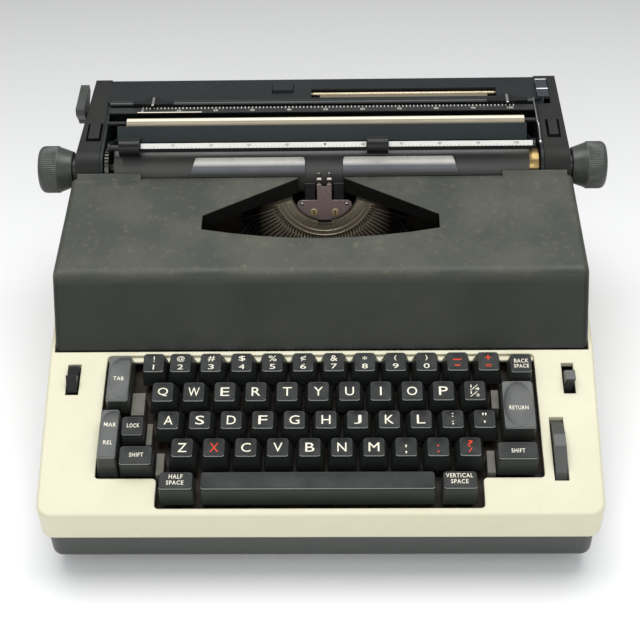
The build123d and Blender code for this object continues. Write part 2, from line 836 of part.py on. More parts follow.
def make_switch_box():
    """The switch and selector housings under the deck, with their pins."""
    boxes = []
    for slot in (power_slot, selector_slot):
        x, y = slot_middle(slot)
        z = deck_z(y) - rocker_pivot_drop
        inner = (slot[1] - slot[0]) / 2
        wall = housing_wall
        long = housing_half
        low = z - housing_deep
        top = deck_z(y - long) - shell_wall / math.cos(math.radians(deck_slope_deg))
        rise = 2 * long * deck_rise
        outline = [(y - long, low), (y + long, low), (y + long, top + rise), (y - long, top)]
        box = side_prism(outline, x - inner - wall, x + inner + wall)
        long -= wall
        hollow = [(y - long, low + wall), (y + long, low + wall), (y + long, top + rise + 3), (y - long, top + 3)]
        box -= side_prism(hollow, x - inner, x + inner)
        box += rod(x - inner - 0.5, x + inner + 0.5, y, z, rocker_pin_r)
        boxes.append(box)
    return boxes


def make_ribbon_selector():
    x, y = slot_middle(selector_slot)
    z = deck_z(y) - rocker_pivot_drop
    half = (selector_slot[1] - selector_slot[0]) / 2 - rocker_side_gap
    outline = [(y - 3.0, z - 4.0), (y + 3.0, z - 4.0), (y + 3.0, z + 8.0), (y - 1.0, z + 13.0),
               (y - 7.5, z + 11.5), (y - 4.0, z + 4.0)]
    bore = rod(x - half - 1, x + half + 1, y, z, rocker_pin_r + running_fit)
    return side_prism(outline, x - half, x + half) - bore


def make_impression_dial():
    x = slot_middle(dial_slot)[0]
    y, z = dial_axis()
    half = (dial_slot[1] - dial_slot[0]) / 2 - rocker_side_gap
    plane = Plane(origin=(x - half, y, z), x_dir=(0, 1, 0), z_dir=(1, 0, 0))
    wheel = extrude(plane * RegularPolygon(dial_r, dial_facets), amount=2 * half)
    return wheel - rod(x - half - 1, x + half + 1, y, z, dial_axle_r + running_fit)


# Type basket

def basket_plane():
    lean = math.radians(basket_lean_deg)
    return Plane(origin=(basket_x, basket_y, basket_z), x_dir=(1, 0, 0),
                 z_dir=(0, -math.cos(lean), math.sin(lean)))


def ring(r0, r1, w0, w1):
    """A flat ring on the basket's axis, between two radii and two heights."""
    flat = Circle(r1) - Circle(r0)
    return basket_plane() * extrude(Plane.XY.offset(w0) * flat, amount=w1 - w0)


def lower_sector(reach, w0, w1):
    """The part of the basket's plane that the segment fills."""
    edge = math.radians(segment_half_deg)
    points = [(0, 0), (reach * math.sin(edge), -reach * math.cos(edge)), (reach, -reach * 1.2),
              (-reach, -reach * 1.2), (-reach * math.sin(edge), -reach * math.cos(edge))]
    flat = Plane.XY.offset(w0) * Polygon(*points, align=None)
    return basket_plane() * extrude(flat, amount=w1 - w0, dir=(0, 0, 1))


def at_bar(theta):
    """Placement of one type bar: its angle is measured from straight down."""
    return basket_plane().location * Rot(0, 0, theta)


def make_type_segment():
    sector = lower_sector(2 * segment_outer_r, -segment_back - 1, segment_raise + 2)
    block_ring = ring(segment_inner_r, segment_outer_r, -segment_back, 0)
    block_ring += ring(segment_step_r, segment_outer_r, -1, segment_raise)
    for r in ring_radii:
        block_ring += ring(r, r + ring_w, -0.5, ring_h)
    segment = block_ring & sector
    for theta in bar_angles():
        cutter = Pos(0, -(segment_step_r + segment_outer_r) / 2 - 1, segment_raise / 2)
        cutter = cutter * Box(slot_w, segment_outer_r - segment_step_r + 6, segment_raise + 5)
        segment -= at_bar(theta) * cutter
    return segment


def bar_angles():
    return [-bar_half_deg + 2 * bar_half_deg * i / (bar_count - 1) for i in range(bar_count)]


def type_bar(theta):
    """One type bar with its slug, lying at rest."""
    rest = math.radians(bar_rest_deg)
    along = (math.sin(rest), math.cos(rest))
    up = (-math.cos(rest), math.sin(rest))

    def place(a, b):
        r = bar_pivot_r + along[0] * a + up[0] * b
        w = bar_pivot_w + along[1] * a + up[1] * b
        return (r, w)

    half = bar_tall / 2
    blade = [place(-2.0, -half), place(bar_length, -half), place(bar_length, half), place(-2.0, half)]
    plane = Plane(origin=(-bar_thick / 2, 0, 0), x_dir=(0, -1, 0), z_dir=(1, 0, 0))
    flip = [(r, -w) for r, w in blade]
    bar = extrude(plane * Polygon(*flip, align=None), amount=bar_thick, dir=(1, 0, 0))
    head = [place(bar_length - slug_long, -half), place(bar_length, -half),
            place(bar_length, slug_tall), place(bar_length - slug_long, slug_tall)]
    flip_head = [(r, -w) for r, w in head]
    wide = Plane(origin=(-slug_w / 2, 0, 0), x_dir=(0, -1, 0), z_dir=(1, 0, 0))
    bar += extrude(wide * Polygon(*flip_head, align=None), amount=slug_w, dir=(1, 0, 0))
    return at_bar(theta) * bar


def make_type_bars():
    middle = bar_count // 2
    return [type_bar(theta) for i, theta in enumerate(bar_angles()) if i != middle]


def make_striking_bar():
    return type_bar(0.0)


def make_type_guide():
    """The flat T-shaped plate that steers each bar to the printing point."""
    ears = Pos(0, -guide_bowl_r) * Rectangle(2 * guide_ear_half, 2 * (guide_bowl_r - guide_ear_drop))
    bowl = Circle(guide_bowl_r) & ears
    bowl = fillet([v for v in bowl.vertices() if v.Y > -guide_ear_drop - 0.5], guide_ear_r)
    stem_low = -guide_bowl_r / 2
    stem = Pos(0, (guide_stem_top + stem_low) / 2) * Rectangle(2 * guide_stem_half, guide_stem_top - stem_low)
    notch = Pos(0, guide_stem_top) * Circle(guide_notch_r)
    foot_top = -guide_bowl_r + 1.0
    foot_low = -segment_inner_r - guide_foot_lap
    foot = Pos(0, (foot_top + foot_low) / 2) * Rectangle(guide_foot_w, foot_top - foot_low)
    flat = bowl + stem + foot - notch
    return basket_plane() * extrude(flat, amount=guide_plate_t)


def make_ribbon_vibrator():
    low = prong_low
    high = prong_high
    back, front = vibrator_faces
    plate = Pos(0, low + vibrator_foot / 2) * Rectangle(2 * prong_x + prong_w, vibrator_foot)
    for side in (-1, 1):
        plate += Pos(side * prong_x, (low + high) / 2) * Rectangle(prong_w, high - low)
    return basket_plane() * extrude(Plane.XY.offset(back) * plate, amount=front - back)


def make_card_holders():
    """Two curved steel plates that hold the paper to the platen, each on its leg."""
    inner = platen_r + holder_gap
    outer = inner + holder_t
    low = math.radians(holder_low_deg)
    high = math.radians(holder_high_deg)
    far = outer * 3
    middle = (low + high) / 2
    wedge = [(platen_y, platen_z), (platen_y - far * math.cos(low), platen_z + far * math.sin(low)),
             (platen_y - far * 1.3 * math.cos(middle), platen_z + far * 1.3 * math.sin(middle)),
             (platen_y - far * math.cos(high), platen_z + far * math.sin(high))]
    plate = rod(holder_x[0], holder_x[1], platen_y, platen_z, outer)
    plate -= rod(holder_x[0] - 1, holder_x[1] + 1, platen_y, platen_z, inner)
    plate = plate & side_prism(wedge, holder_x[0], holder_x[1])
    # seen from the front, the upper corners are rounded and the outer end slants
    low_z = platen_z
    high_z = platen_z + outer * math.sin(high)
    face = Polygon((holder_x[0], low_z), (holder_x[1], low_z), (holder_x[1], platen_z + outer * math.sin(low)),
                   (holder_x[1] - holder_slant, high_z), (holder_x[0], high_z), align=None)
    face = fillet([v for v in face.vertices() if v.Y > high_z - 0.1], holder_corner_r)
    front = Plane(origin=(0, platen_y, 0), x_dir=(1, 0, 0), z_dir=(0, -1, 0))
    plate = plate & extrude(front * face, amount=far, dir=(0, -1, 0))
    strap = rod(leg_x[0], leg_x[1], platen_y, platen_z, outer)
    strap -= rod(leg_x[0] - 1, leg_x[1] + 1, platen_y, platen_z, inner)
    under = math.radians(-strap_low_deg)
    reach = far * 1.3
    tail = [(platen_y, platen_z), (platen_y - far * math.cos(under), platen_z + far * math.sin(under)),
            (platen_y - reach, platen_z),
            (platen_y - far * math.cos(low + 0.1), platen_z + far * math.sin(low + 0.1))]
    strap = strap & side_prism(tail, leg_x[0], leg_x[1])
    foot = math.radians(-leg_top_deg)
    foot_y = platen_y - outer * math.cos(foot)
    foot_z = platen_z + outer * math.sin(foot)
    leg = block(leg_x[0], leg_x[1], foot_y, foot_y + leg_t, basket_bar_z[1], foot_z)
    right = plate + strap + leg
    return [Pos(basket_x, 0, 0) * mirrored(right), Pos(basket_x, 0, 0) * right]


# Ribbon spools

def make_spool(side):
    x = side * spool_x
    low = spool_low_z + face_gap
    high = spool_low_z + spool_h
    spool = post(x, spool_y, low, low + spool_flange_t, spool_r)
    spool += post(x, spool_y, high - spool_flange_t, high, spool_r)
    spool += post(x, spool_y, low, high, spool_core_r)
    return spool - post(x, spool_y, spool_low_z - 1, spool_low_z + spool_h + 1, spindle_r + running_fit)


# Carriage

def carriage_side(inset, low_z, rear):
    """Side view of the carriage's end: a nose round the platen and a rising top."""
    top = (carriage_rear_z - platen_z - nose_r) / (carriage_rear_y - platen_y)
    nose = nose_r - inset
    rear_z = platen_z + nose_r + (rear - platen_y) * top - inset
    nose_foot_y = platen_y - nose * 0.5
    return nose, [(nose_foot_y, low_z), (rear, low_z), (rear, rear_z), (platen_y, platen_z + nose),
                  (platen_y, platen_z), (nose_foot_y, platen_z - nose * 0.8)]


def end_shape(inset, low_z, rear, x0, x1):
    nose, outline = carriage_side(inset, low_z, rear)
    return side_prism(outline, x0, x1) + rod(x0, x1, platen_y, platen_z, nose)


def make_carriage_frame():
    floor = block(-plate_x - plate_t, plate_x + plate_t, carriage_front_y, plate_rear_y,
                  carriage_low_z, carriage_low_z + carriage_floor_t)
    feed_y, feed_z = feed_centre()
    floor -= block(-feed_half_x - 1, feed_half_x + 1, feed_y - 7, feed_y + 7,
                   carriage_low_z - 1, carriage_low_z + 5)
    frame = floor
    for side in (-1, 1):
        x0, x1 = sorted((side * plate_x, side * (plate_x + plate_t)))
        plate = end_shape(0, carriage_low_z, plate_rear_y, x0, x1)
        plate -= rod(x0 - 1, x1 + 1, platen_y, platen_z, platen_shaft_r + running_fit)
        plate -= rod(x0 - 1, x1 + 1, release_y, release_z, release_r + running_fit)
        pin0, pin1 = sorted((side * (plate_x + 0.5), side * (bail_arm_x[0] - 0.8)))
        plate += rod(pin0, pin1, bail_pivot_y, bail_pivot_z, bail_pin_r)
        feed0, feed1 = sorted((side * (plate_x + 0.5), side * (feed_half_x - 6)))
        plate += rod(feed0, feed1, feed_y, feed_z, feed_pin_r)
        frame += plate
    return frame


release_y = 114.0
release_z = 116.0
release_r = 2.0
release_pocket = ((150.6, 160.8, 93.3, 111.6), (153.2, 162.4, 93.3, 111.6))
feed_half_x = 120.0


def cap_outer_x(side, y):
    """How far out the cap's side lies at a depth, drawing in towards the rear."""
    index = 0 if side < 0 else 1
    share = (y - platen_y) / (carriage_rear_y - platen_y)
    return cap_front_x[index] + (cap_rear_x[index] - cap_front_x[index]) * share


def cap_plan(side, inset):
    """The cap in plan, on the positive side."""
    y0 = platen_y - 2 * nose_r
    y1 = carriage_rear_y + 5.0
    return [(0, y0), (cap_outer_x(side, y0) - inset, y0), (cap_outer_x(side, y1) - inset, y1), (0, y1)]


def make_end_cap(side):
    widest = max(cap_front_x) + 10.0
    outer = end_shape(0, end_cap_low_z, carriage_rear_y, cap_inner_x, widest)
    outer = outer & plan_prism(cap_plan(side, 0), 0, carriage_rear_z + 10)
    inner = end_shape(cap_wall, end_cap_low_z - 5, carriage_rear_y - cap_wall, cap_inner_x - 1, widest)
    inner = inner & plan_prism(cap_plan(side, cap_wall), 0, carriage_rear_z + 10)
    shell = outer - inner
    shell -= rod(cap_inner_x, widest, platen_y, platen_z, platen_shaft_r + 1.5)
    x0, x1, y0, y1 = release_pocket[0 if side < 0 else 1]
    shell -= block(x0, x1, y0, y1, platen_z + 5, carriage_rear_z + 5)
    if side < 0:
        shell = mirrored(shell)
        shell += rod(-paddle_x - paddle_t - 1.0, -cap_outer_x(side, paddle_y) + 1.0, paddle_y, paddle_z,
                     paddle_pin_r)
    else:
        shell -= block(cap_inner_x - 1, plate_x + plate_t + chrome_w + 1.5, tab_lever_y[0] - 2, tab_lever_y[1] + 2,
                       platen_z, carriage_rear_z + 5)
    return shell


paddle_t = 6.0
paddle_x = 164.6
paddle_y = 129.0
paddle_z = 141.0
paddle_hub_r = 5.5
paddle_pin_r = 2.5
paddle_blade = ((-5.5, 0.0), (5.5, 0.0), (19.5, 8.0), (19.0, 13.2), (-9.0, 11.2), (-10.5, 7.0))
tab_lever_y = (130.0, 151.6)
chrome_w = 8.0
chrome_side_gap = 0.4
chrome_pad_z = (150.6, 153.0)
chrome_ridge_r = 0.9
chrome_ridge_y = (138.6, 150.4)
chrome_hub_r = 4.0
chrome_pin_r = 1.5
chrome_pin_out = 8.0
release_arm_half = 3.0
release_side_gap = 1.5
release_neck_z = 141.0
release_pad_z = (145.0, 147.2)
release_shaft_x = 160.0


def make_paddle_lever():
    """The paper release paddle on the outside of the left end."""
    x1 = -paddle_x
    x0 = x1 - paddle_t
    hub = rod(x0, x1, paddle_y, paddle_z, paddle_hub_r)
    arm = side_prism([(paddle_y + dy, paddle_z + dz) for dy, dz in paddle_blade], x0, x1)
    paddle = hub + arm
    return paddle - rod(x0 - 1, x1 + 1, paddle_y, paddle_z, paddle_pin_r + running_fit)


def make_chrome_lever():
    """The bright ridged lever at the right rear, which frees the paper bail."""
    x0 = plate_x + plate_t + chrome_side_gap
    x1 = x0 + chrome_w
    y0, y1 = tab_lever_y
    low, high = chrome_pad_z
    pad = block(x0, x1, y0, y1, low, high)
    for y in chrome_ridge_y:
        pad += rod(x0, x1, y, high, chrome_ridge_r)
    half = chrome_hub_r - 1.0
    web = side_prism([(y1 - 5, low + 0.4), (y1 - 1, low + 0.4), (chrome_y + half, chrome_z),
                      (chrome_y - half, chrome_z)], x0 + 2, x1 - 2)
    lever_shape = pad + web + rod(x0 + 1, x1 - 1, chrome_y, chrome_z, chrome_hub_r)
    return lever_shape - rod(x0 - 1, x1 + 1, chrome_y, chrome_z, chrome_pin_r + running_fit)


chrome_y = 145.0
chrome_z = 138.0


def make_chrome_pin():
    """The pin that the bright lever turns on, fixed in the carriage side."""
    return rod(plate_x + plate_t, plate_x + plate_t + chrome_pin_out, chrome_y, chrome_z, chrome_pin_r)


def make_release_levers():
    """Two carriage release keys on one cross shaft."""
    shaft = rod(-release_shaft_x, release_shaft_x, release_y, release_z, release_r)
    half = release_arm_half
    neck = release_neck_z
    levers = shaft
    for side, (x0, x1, y0, y1) in zip((-1, 1), release_pocket):
        a, b = sorted((side * (x0 + release_side_gap), side * (x1 - release_side_gap)))
        arm = [(release_y - half, release_z - half), (release_y + half, release_z - half), (y1 - 0.8, neck),
               (y1 - 1.0, release_pad_z[1]), (y0 + 2.2, release_pad_z[0]), (y0 + 2.2, neck)]
        levers += side_prism(arm, a, b)
    return levers


def make_platen():
    return rod(-platen_half_x, platen_half_x, platen_y, platen_z, platen_r) - rod(
        -platen_half_x - 1, platen_half_x + 1, platen_y, platen_z, platen_shaft_r)


def make_platen_shaft():
    end = grip_x[1] - shaft_cover
    shaft = rod(-end, end, platen_y, platen_z, platen_shaft_r)
    hub = rod(platen_half_x, ratchet_x[1], platen_y, platen_z, ratchet_r - ratchet_hub_drop)
    return shaft + hub


def make_knob(side):
    plane = Plane(origin=(cone_x[0], platen_y, platen_z), x_dir=(0, 1, 0), z_dir=(1, 0, 0))
    cone_length = cone_x[1] - cone_x[0]
    cone = loft([(plane * Circle(knob_neck_r)).face(),
                 (plane.offset(cone_length) * Circle(knob_cone_r)).face()])
    grip = rod(grip_x[0], grip_x[1], platen_y, platen_z, knob_grip_r)
    grip = fillet(grip.edges().filter_by(GeomType.CIRCLE), grip_edge_r)
    knob = cone + grip + rod(collar_x, cone_x[0] + 0.5, platen_y, platen_z, collar_r)
    for i in range(knob_flutes):
        turn = 2 * math.pi * i / knob_flutes
        y = platen_y + knob_grip_r * math.cos(turn)
        z = platen_z + knob_grip_r * math.sin(turn)
        knob -= rod(grip_x[0] + grip_edge_r, grip_x[1] - grip_edge_r, y, z, flute_r)
    knob -= rod(collar_x - 1, grip_x[1] - shaft_cover, platen_y, platen_z, platen_shaft_r)
    return mirrored(knob) if side < 0 else knob


def make_ratchet_wheel():
    x0, x1 = -ratchet_x[1], -ratchet_x[0]
    wheel = rod(x0, x1, platen_y, platen_z, ratchet_r)
    for i in range(ratchet_teeth):
        turn = 2 * math.pi * i / ratchet_teeth
        notch = Rot(math.degrees(turn), 0, 0) * (Pos(0, ratchet_r, 0) * Box(*ratchet_notch))
        wheel -= Pos((x0 + x1) / 2, platen_y, platen_z) * notch
    return wheel - rod(x0 - 1, x1 + 1, platen_y, platen_z, platen_shaft_r)


def feed_centre():
    reach = platen_r + face_gap + feed_roller_r
    angle = math.radians(feed_angle_deg)
    return platen_y + reach * math.cos(angle), platen_z + reach * math.sin(angle)


def make_feed_roller():
    y, z = feed_centre()
    roller = rod(-feed_half_x, feed_half_x, y, z, feed_core_r)
    for x in feed_band_x:
        roller += rod(x - feed_band_half, x + feed_band_half, y, z, feed_roller_r)
    for side in (-1, 1):
        x0, x1 = sorted((side * (feed_half_x - 8), side * (feed_half_x + 1)))
        roller -= rod(x0, x1, y, z, feed_pin_r + running_fit)
    return roller


def make_paper_table():
    """The paper pan that rises behind the platen."""
    inner = platen_r + table_gap
    outer = inner + table_t
    half = bail_arm_x[0] - table_side_gap
    pan = rod(-half, half, platen_y, platen_z, outer) - rod(-half - 1, half + 1, platen_y, platen_z, inner)
    low = math.radians(table_low_deg)
    high = math.radians(table_high_deg)
    far = outer * 2.5
    middle = (low + high) / 2
    wedge = [(platen_y, platen_z), (platen_y + far * math.cos(low), platen_z + far * math.sin(low)),
             (platen_y + far * 1.2 * math.cos(middle), platen_z + far * 1.2 * math.sin(middle)),
             (platen_y + far * math.cos(high), platen_z + far * math.sin(high))]
    pan = pan & side_prism(wedge, -half, half)
    y0 = platen_y + inner * math.cos(high)
    z0 = platen_z + inner * math.sin(high)
    pan += side_prism([(y0 - 0.8, z0 - 0.4), (paper_bar_y[0], paper_bar_z[1] - 1.3),
                       (paper_bar_y[0], paper_bar_z[1] - 2.8), (y0 + 1.2, z0 - 1.8)], -half, half)
    return pan


def make_paper_bar():
    bar = block(-plate_x, plate_x, paper_bar_y[0], paper_bar_y[1], paper_bar_z[0], paper_bar_z[1])
    return fillet(bar.edges().filter_by(Axis.X), paper_bar_edge_r)


def make_paper_bail():
    bail = rod(-bail_arm_x[1], bail_arm_x[1], bail_y, bail_z, bail_rod_r)
    dy = bail_pivot_y - bail_y
    dz = bail_pivot_z - bail_z
    long = math.hypot(dy, dz)
    ny = -dz / long * bail_arm_half
    nz = dy / long * bail_arm_half
    arm = [(bail_y + ny, bail_z + nz), (bail_pivot_y + ny, bail_pivot_z + nz),
           (bail_pivot_y - ny, bail_pivot_z - nz), (bail_y - ny, bail_z - nz)]
    for side in (-1, 1):
        x0, x1 = sorted((side * bail_arm_x[0], side * bail_arm_x[1]))
        piece = side_prism(arm, x0, x1) + rod(x0, x1, bail_pivot_y, bail_pivot_z, bail_hub_r)
        piece += rod(x0, x1, bail_y, bail_z, bail_arm_half)
        bail += piece - rod(x0 - 1, x1 + 1, bail_pivot_y, bail_pivot_z, bail_pin_r + running_fit)
    return bail


def make_bail_scale():
    """The white line scale in two lengths, either side of the middle roller."""
    half_roller = bail_roller_w / 2 + 0.4
    spans = ((bail_roller_x[0] + half_roller, bail_roller_x[1] - half_roller),
             (bail_roller_x[1] + half_roller, bail_arm_x[0] - face_gap))
    strips = []
    for x0, x1 in spans:
        strip = Box(x1 - x0, scale_w, scale_t)
        place = Pos((x0 + x1) / 2, bail_y, bail_z) * Rot(scale_tilt_deg, 0, 0)
        place *= Pos(0, -scale_drop, bail_rod_r + scale_t / 2)
        strips.append(place * strip)
    return strips


def make_bail_rollers():
    rollers = []
    for x in bail_roller_x:
        x0, x1 = x - bail_roller_w / 2, x + bail_roller_w / 2
        roller = rod(x0, x1, bail_y, bail_z, bail_roller_r)
        rollers.append(roller - rod(x0 - 1, x1 + 1, bail_y, bail_z, bail_rod_r + running_fit))
    return rollers


def make_margin_scale():
    return block(-plate_x, plate_x, margin_scale_y[0], margin_scale_y[1], margin_scale_z[0], margin_scale_z[1])


def make_margin_rail():
    return rod(-plate_x, plate_x, margin_rod_y, margin_rod_z, margin_rod_r)


def make_margin_stop(x):
    deep = stop_body_half
    body = block(x - stop_half_x, x + stop_half_x, margin_rod_y - deep, margin_rod_y + deep,
                 margin_rod_z - deep, stop_fin_z[1])
    body += block(x - stop_wing_x, x + stop_wing_x,
                  margin_rod_y - stop_wing_half, margin_rod_y + stop_wing_half,
                  margin_rod_z - stop_wing_drop, margin_rod_z + stop_wing_rise)
    fin = [(x - stop_fin_half_x, stop_fin_y[0]), (x + stop_fin_half_x, stop_fin_y[0]),
           (x + stop_fin_tip_x, stop_fin_y[1]), (x - stop_fin_tip_x, stop_fin_y[1])]
    body += plan_prism(fin, stop_fin_z[0], stop_fin_z[1])
    pointer = block(x - pointer_half_x, x + pointer_half_x, margin_rod_y - pointer_reach, margin_rod_y,
                    stop_fin_z[0], stop_fin_z[1])
    bore = rod(x - stop_wing_x - 1, x + stop_wing_x + 1, margin_rod_y, margin_rod_z, margin_rod_r + running_fit)
    return body + pointer - bore


def make_rear_cover():
    """The long cover behind the scale: a channel with its support slot."""
    half = plate_x
    wall = rear_cover_wall
    low = carriage_low_z + carriage_floor_t
    top = rear_cover_top
    outer = block(-half, half, rear_cover_y, carriage_rear_y, low, top)
    outer = fillet(outer.edges().filter_by(Axis.X).group_by(Axis.Z)[-1], rear_cover_edge_r)
    inner = block(-half + wall, half - wall, rear_cover_y + wall, carriage_rear_y - wall, low - 1, top - wall)
    shell = outer - inner
    x0, x1, y0, y1 = support_slot
    shell -= block(x0, x1, y0, y1, top - 5, top + 2)
    shell -= block(button_x[0], button_x[1], button_y[0] - button_gap, button_y[1] + button_gap,
                   top - 5, top + 2)
    for lug0, lug1 in ((x0 - lug_w, x0), (x1, x1 + lug_w)):
        lug = block(lug0, lug1, support_axis_y - lug_half, y1 + wall, support_z - lug_half, top - wall + 0.5)
        shell += lug - rod(lug0 - 1, lug1 + 1, support_axis_y, support_z, support_pin_r + running_fit)
    shell -= block(-half - 1, -half + 1 + wall, release_y, carriage_rear_y + 1, low - 1, low + 4)
    return shell


def make_paper_support():
    """The bright paper rest that lies in its slot and swings up."""
    x0, x1, y0, y1 = support_slot
    gap = support_gap
    z = support_z
    out = support_pin_out
    inset = support_tongue_inset
    half = support_tongue_half
    rest = rod(x0 + gap, x1 - gap, support_axis_y, z, support_rod_r)
    rest += rod(x0 - out, x1 + out, support_axis_y, z, support_pin_r)
    rest += block(x0 + inset, x1 - inset, y0 + gap, support_axis_y, z - half, z + half)
    return rest


support_z = 148.6
support_axis_y = 141.5
support_pin_r = 0.9


def make_support_button():
    low, front_top, rear_top = button_z
    outline = [(button_y[0], low), (button_y[1], low),
               (button_crown_y[1], rear_top), (button_crown_y[0], front_top)]
    return side_prism(outline, button_x[0] + button_gap, button_x[1] - button_gap)


nodes = {
    "base_tray": [make_base_tray()],
    "rubber_feet": make_rubber_feet(),
    "keyboard_deck": [make_keyboard_deck()],
    "top_cover": [make_top_cover()],
    "side_frames": make_side_frames() + make_cover_brackets(),
    "bars_and_rails": make_cross_bars() + make_carriage_rails(),
    "key_guide_plates": [make_key_guide_plate()] + make_filler_plates(),
    "power_inlet": [make_power_inlet()],
    "control_housings": make_switch_box(),
    "motor": [make_motor()],
    "motor_pulley": [make_motor_pulley()],
    "power_roller": [make_power_roller()],
    "drive_belt": [make_drive_belt()],
    "power_rocker": [make_power_rocker()],
    "ribbon_selector": [make_ribbon_selector()],
    "impression_dial": [make_impression_dial()],
    "type_segment": [make_type_segment()],
    "type_bars": make_type_bars(),
    "striking_type_bar": [make_striking_bar()],
    "type_guide": [make_type_guide()],
    "ribbon_vibrator": [make_ribbon_vibrator()],
    "card_holders": make_card_holders(),
    "ribbon_spool_left": [make_spool(-1)],
    "ribbon_spool_right": [make_spool(1)],
    "carriage_frame": [make_carriage_frame() + make_chrome_pin()],
    "end_cap_left": [make_end_cap(-1)],
    "end_cap_right": [make_end_cap(1)],
    "platen_roller": [make_platen()],
    "platen_shaft": [make_platen_shaft(), make_ratchet_wheel()],
    "platen_knob_left": [make_knob(-1)],
    "platen_knob_right": [make_knob(1)],
    "feed_roller": [make_feed_roller()],
    "paper_table": [make_paper_table()],
    "paper_guide_bar": [make_paper_bar()],
    "paper_bail": [make_paper_bail()],
    "bail_scale": make_bail_scale(),
    "bail_rollers": make_bail_rollers(),
    "margin_scale": [make_margin_scale(), make_margin_rail()],
    "margin_stop_left": [make_margin_stop(stop_x[0])],
    "margin_stop_right": [make_margin_stop(stop_x[1])],
    "rear_carriage_cover": [make_rear_cover()],
    "paper_support": [make_paper_support()],
    "support_button": [make_support_button()],
    "carriage_release_levers": [make_release_levers()],
    "paper_release_lever": [make_paddle_lever()],
    "bail_release_lever": [make_chrome_lever()],
}
for row in range(4):
    nodes[row_names[row]] = make_row(row)
for name, sizes in function_keys.items():
    nodes[name] = make_key(*sizes)

os.makedirs("parts", exist_ok=True)
for name, shapes in nodes.items():
    solids = [solid for shape in shapes for solid in shape.solids()]
    export_step(Compound(children=solids), "parts/" + name + ".step")
    print(name, len(solids), "solids")
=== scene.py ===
import bpy
import bmesh
import math
from mathutils import Matrix, Vector


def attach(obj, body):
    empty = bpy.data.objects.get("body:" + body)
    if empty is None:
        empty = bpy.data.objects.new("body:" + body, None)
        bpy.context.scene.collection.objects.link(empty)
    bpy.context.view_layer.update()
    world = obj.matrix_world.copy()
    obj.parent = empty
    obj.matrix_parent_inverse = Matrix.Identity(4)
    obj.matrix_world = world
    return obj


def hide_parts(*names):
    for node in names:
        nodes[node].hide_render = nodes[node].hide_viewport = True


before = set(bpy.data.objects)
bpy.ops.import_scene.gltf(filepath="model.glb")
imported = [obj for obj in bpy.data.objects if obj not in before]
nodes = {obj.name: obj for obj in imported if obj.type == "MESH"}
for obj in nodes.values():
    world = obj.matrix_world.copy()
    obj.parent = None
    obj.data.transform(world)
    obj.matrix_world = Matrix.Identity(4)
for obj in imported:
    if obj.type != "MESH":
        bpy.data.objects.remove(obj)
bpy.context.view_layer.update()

# Base tray
# One moulding of dark grey plastic that carries the whole machine.
# Its skirt is drawn in a little from the cream shell, so the shell throws a shadow on it.


def paint(red, green, blue):
    """A colour from its 0 to 255 display values, as the shader wants it."""
    def straight(value):
        share = value / 255.0
        return share / 12.92 if share <= 0.04045 else ((share + 0.055) / 1.055) ** 2.4
    return (straight(red), straight(green), straight(blue), 1.0)


def feed(tree, socket, value):
    """Sets a socket to a plain value, or links another socket to it."""
    if isinstance(value, bpy.types.NodeSocket):
        tree.links.new(value, socket)
    else:
        socket.default_value = value


def add_node(tree, kind, group=None, **inputs):
    """A node, or a group placed as one, with its named sockets fed."""
    node = tree.nodes.new(kind)
    if group:
        node.node_tree = group
    for label, value in inputs.items():
        feed(tree, node.inputs[label.replace("_", " ")], value)
    return node


def maths(tree, operation, *values):
    """One sum on the numbers or masks of a tree."""
    node = tree.nodes.new("ShaderNodeMath")
    node.operation = operation
    for socket, value in zip(node.inputs, values):
        feed(tree, socket, value)
    return node.outputs[0]


def ramp_of(tree, value, start, end):
    """How far a value has gone from start to end, from 0 to 1."""
    return add_node(tree, "ShaderNodeMapRange", Value=value, From_Min=start, From_Max=end).outputs[0]


def noise_of(tree, scale, detail, roughness=0.5):
    """Noise over the piece's own coordinates."""
    place = add_node(tree, "ShaderNodeTexCoord").outputs["Object"]
    return add_node(tree, "ShaderNodeTexNoise", Vector=place, Scale=scale, Detail=detail,
                    Roughness=roughness).outputs["Fac"]


def mix_colours(tree, factor, first, second):
    """The first colour, with as much of the second over it as the factor says."""
    mixer = tree.nodes.new("ShaderNodeMix")
    mixer.data_type = "RGBA"
    colour_places = (0, 6, 7)
    for place, value in zip(colour_places, (factor, first, second)):
        feed(tree, mixer.inputs[place], value)
    return mixer.outputs[2]


def new_group(name, kind, inputs, outputs):
    """An empty shader or geometry tree with its named sockets."""
    tree = bpy.data.node_groups.new(name, kind)
    for way, sockets in (("INPUT", inputs), ("OUTPUT", outputs)):
        for label, value_kind in sockets.items():
            tree.interface.new_socket(label, in_out=way, socket_type="NodeSocket" + value_kind)
    return tree, tree.nodes.new("NodeGroupInput").outputs, tree.nodes.new("NodeGroupOutput").inputs


# soft patches, fine dirt and grain that every aged surface of the machine shows
aged, given, result = new_group(
    "aged_surface", "ShaderNodeTree",
    {"Base": "Color", "Patch": "Color", "Grime": "Color", "Patch Scale": "Float", "Patch Amount": "Float",
     "Speck Scale": "Float", "Speck Amount": "Float", "Grain Scale": "Float"},
    {"Color": "Color", "Unevenness": "Float", "Grain": "Float"})
clouds = noise_of(aged, given["Patch Scale"], detail=5.0, roughness=0.62)
cloud_share = maths(aged, "MULTIPLY", ramp_of(aged, clouds, start=0.4, end=0.68), given["Patch Amount"])
specks = noise_of(aged, given["Speck Scale"], detail=3.0, roughness=0.7)
speck_share = maths(aged, "MULTIPLY", ramp_of(aged, specks, start=0.56, end=0.74), given["Speck Amount"])
patched = mix_colours(aged, cloud_share, given["Base"], given["Patch"])
feed(aged, result["Color"], mix_colours(aged, speck_share, patched, given["Grime"]))
feed(aged, result["Unevenness"], clouds)
feed(aged, result["Grain"], noise_of(aged, given["Grain Scale"], detail=2.0))

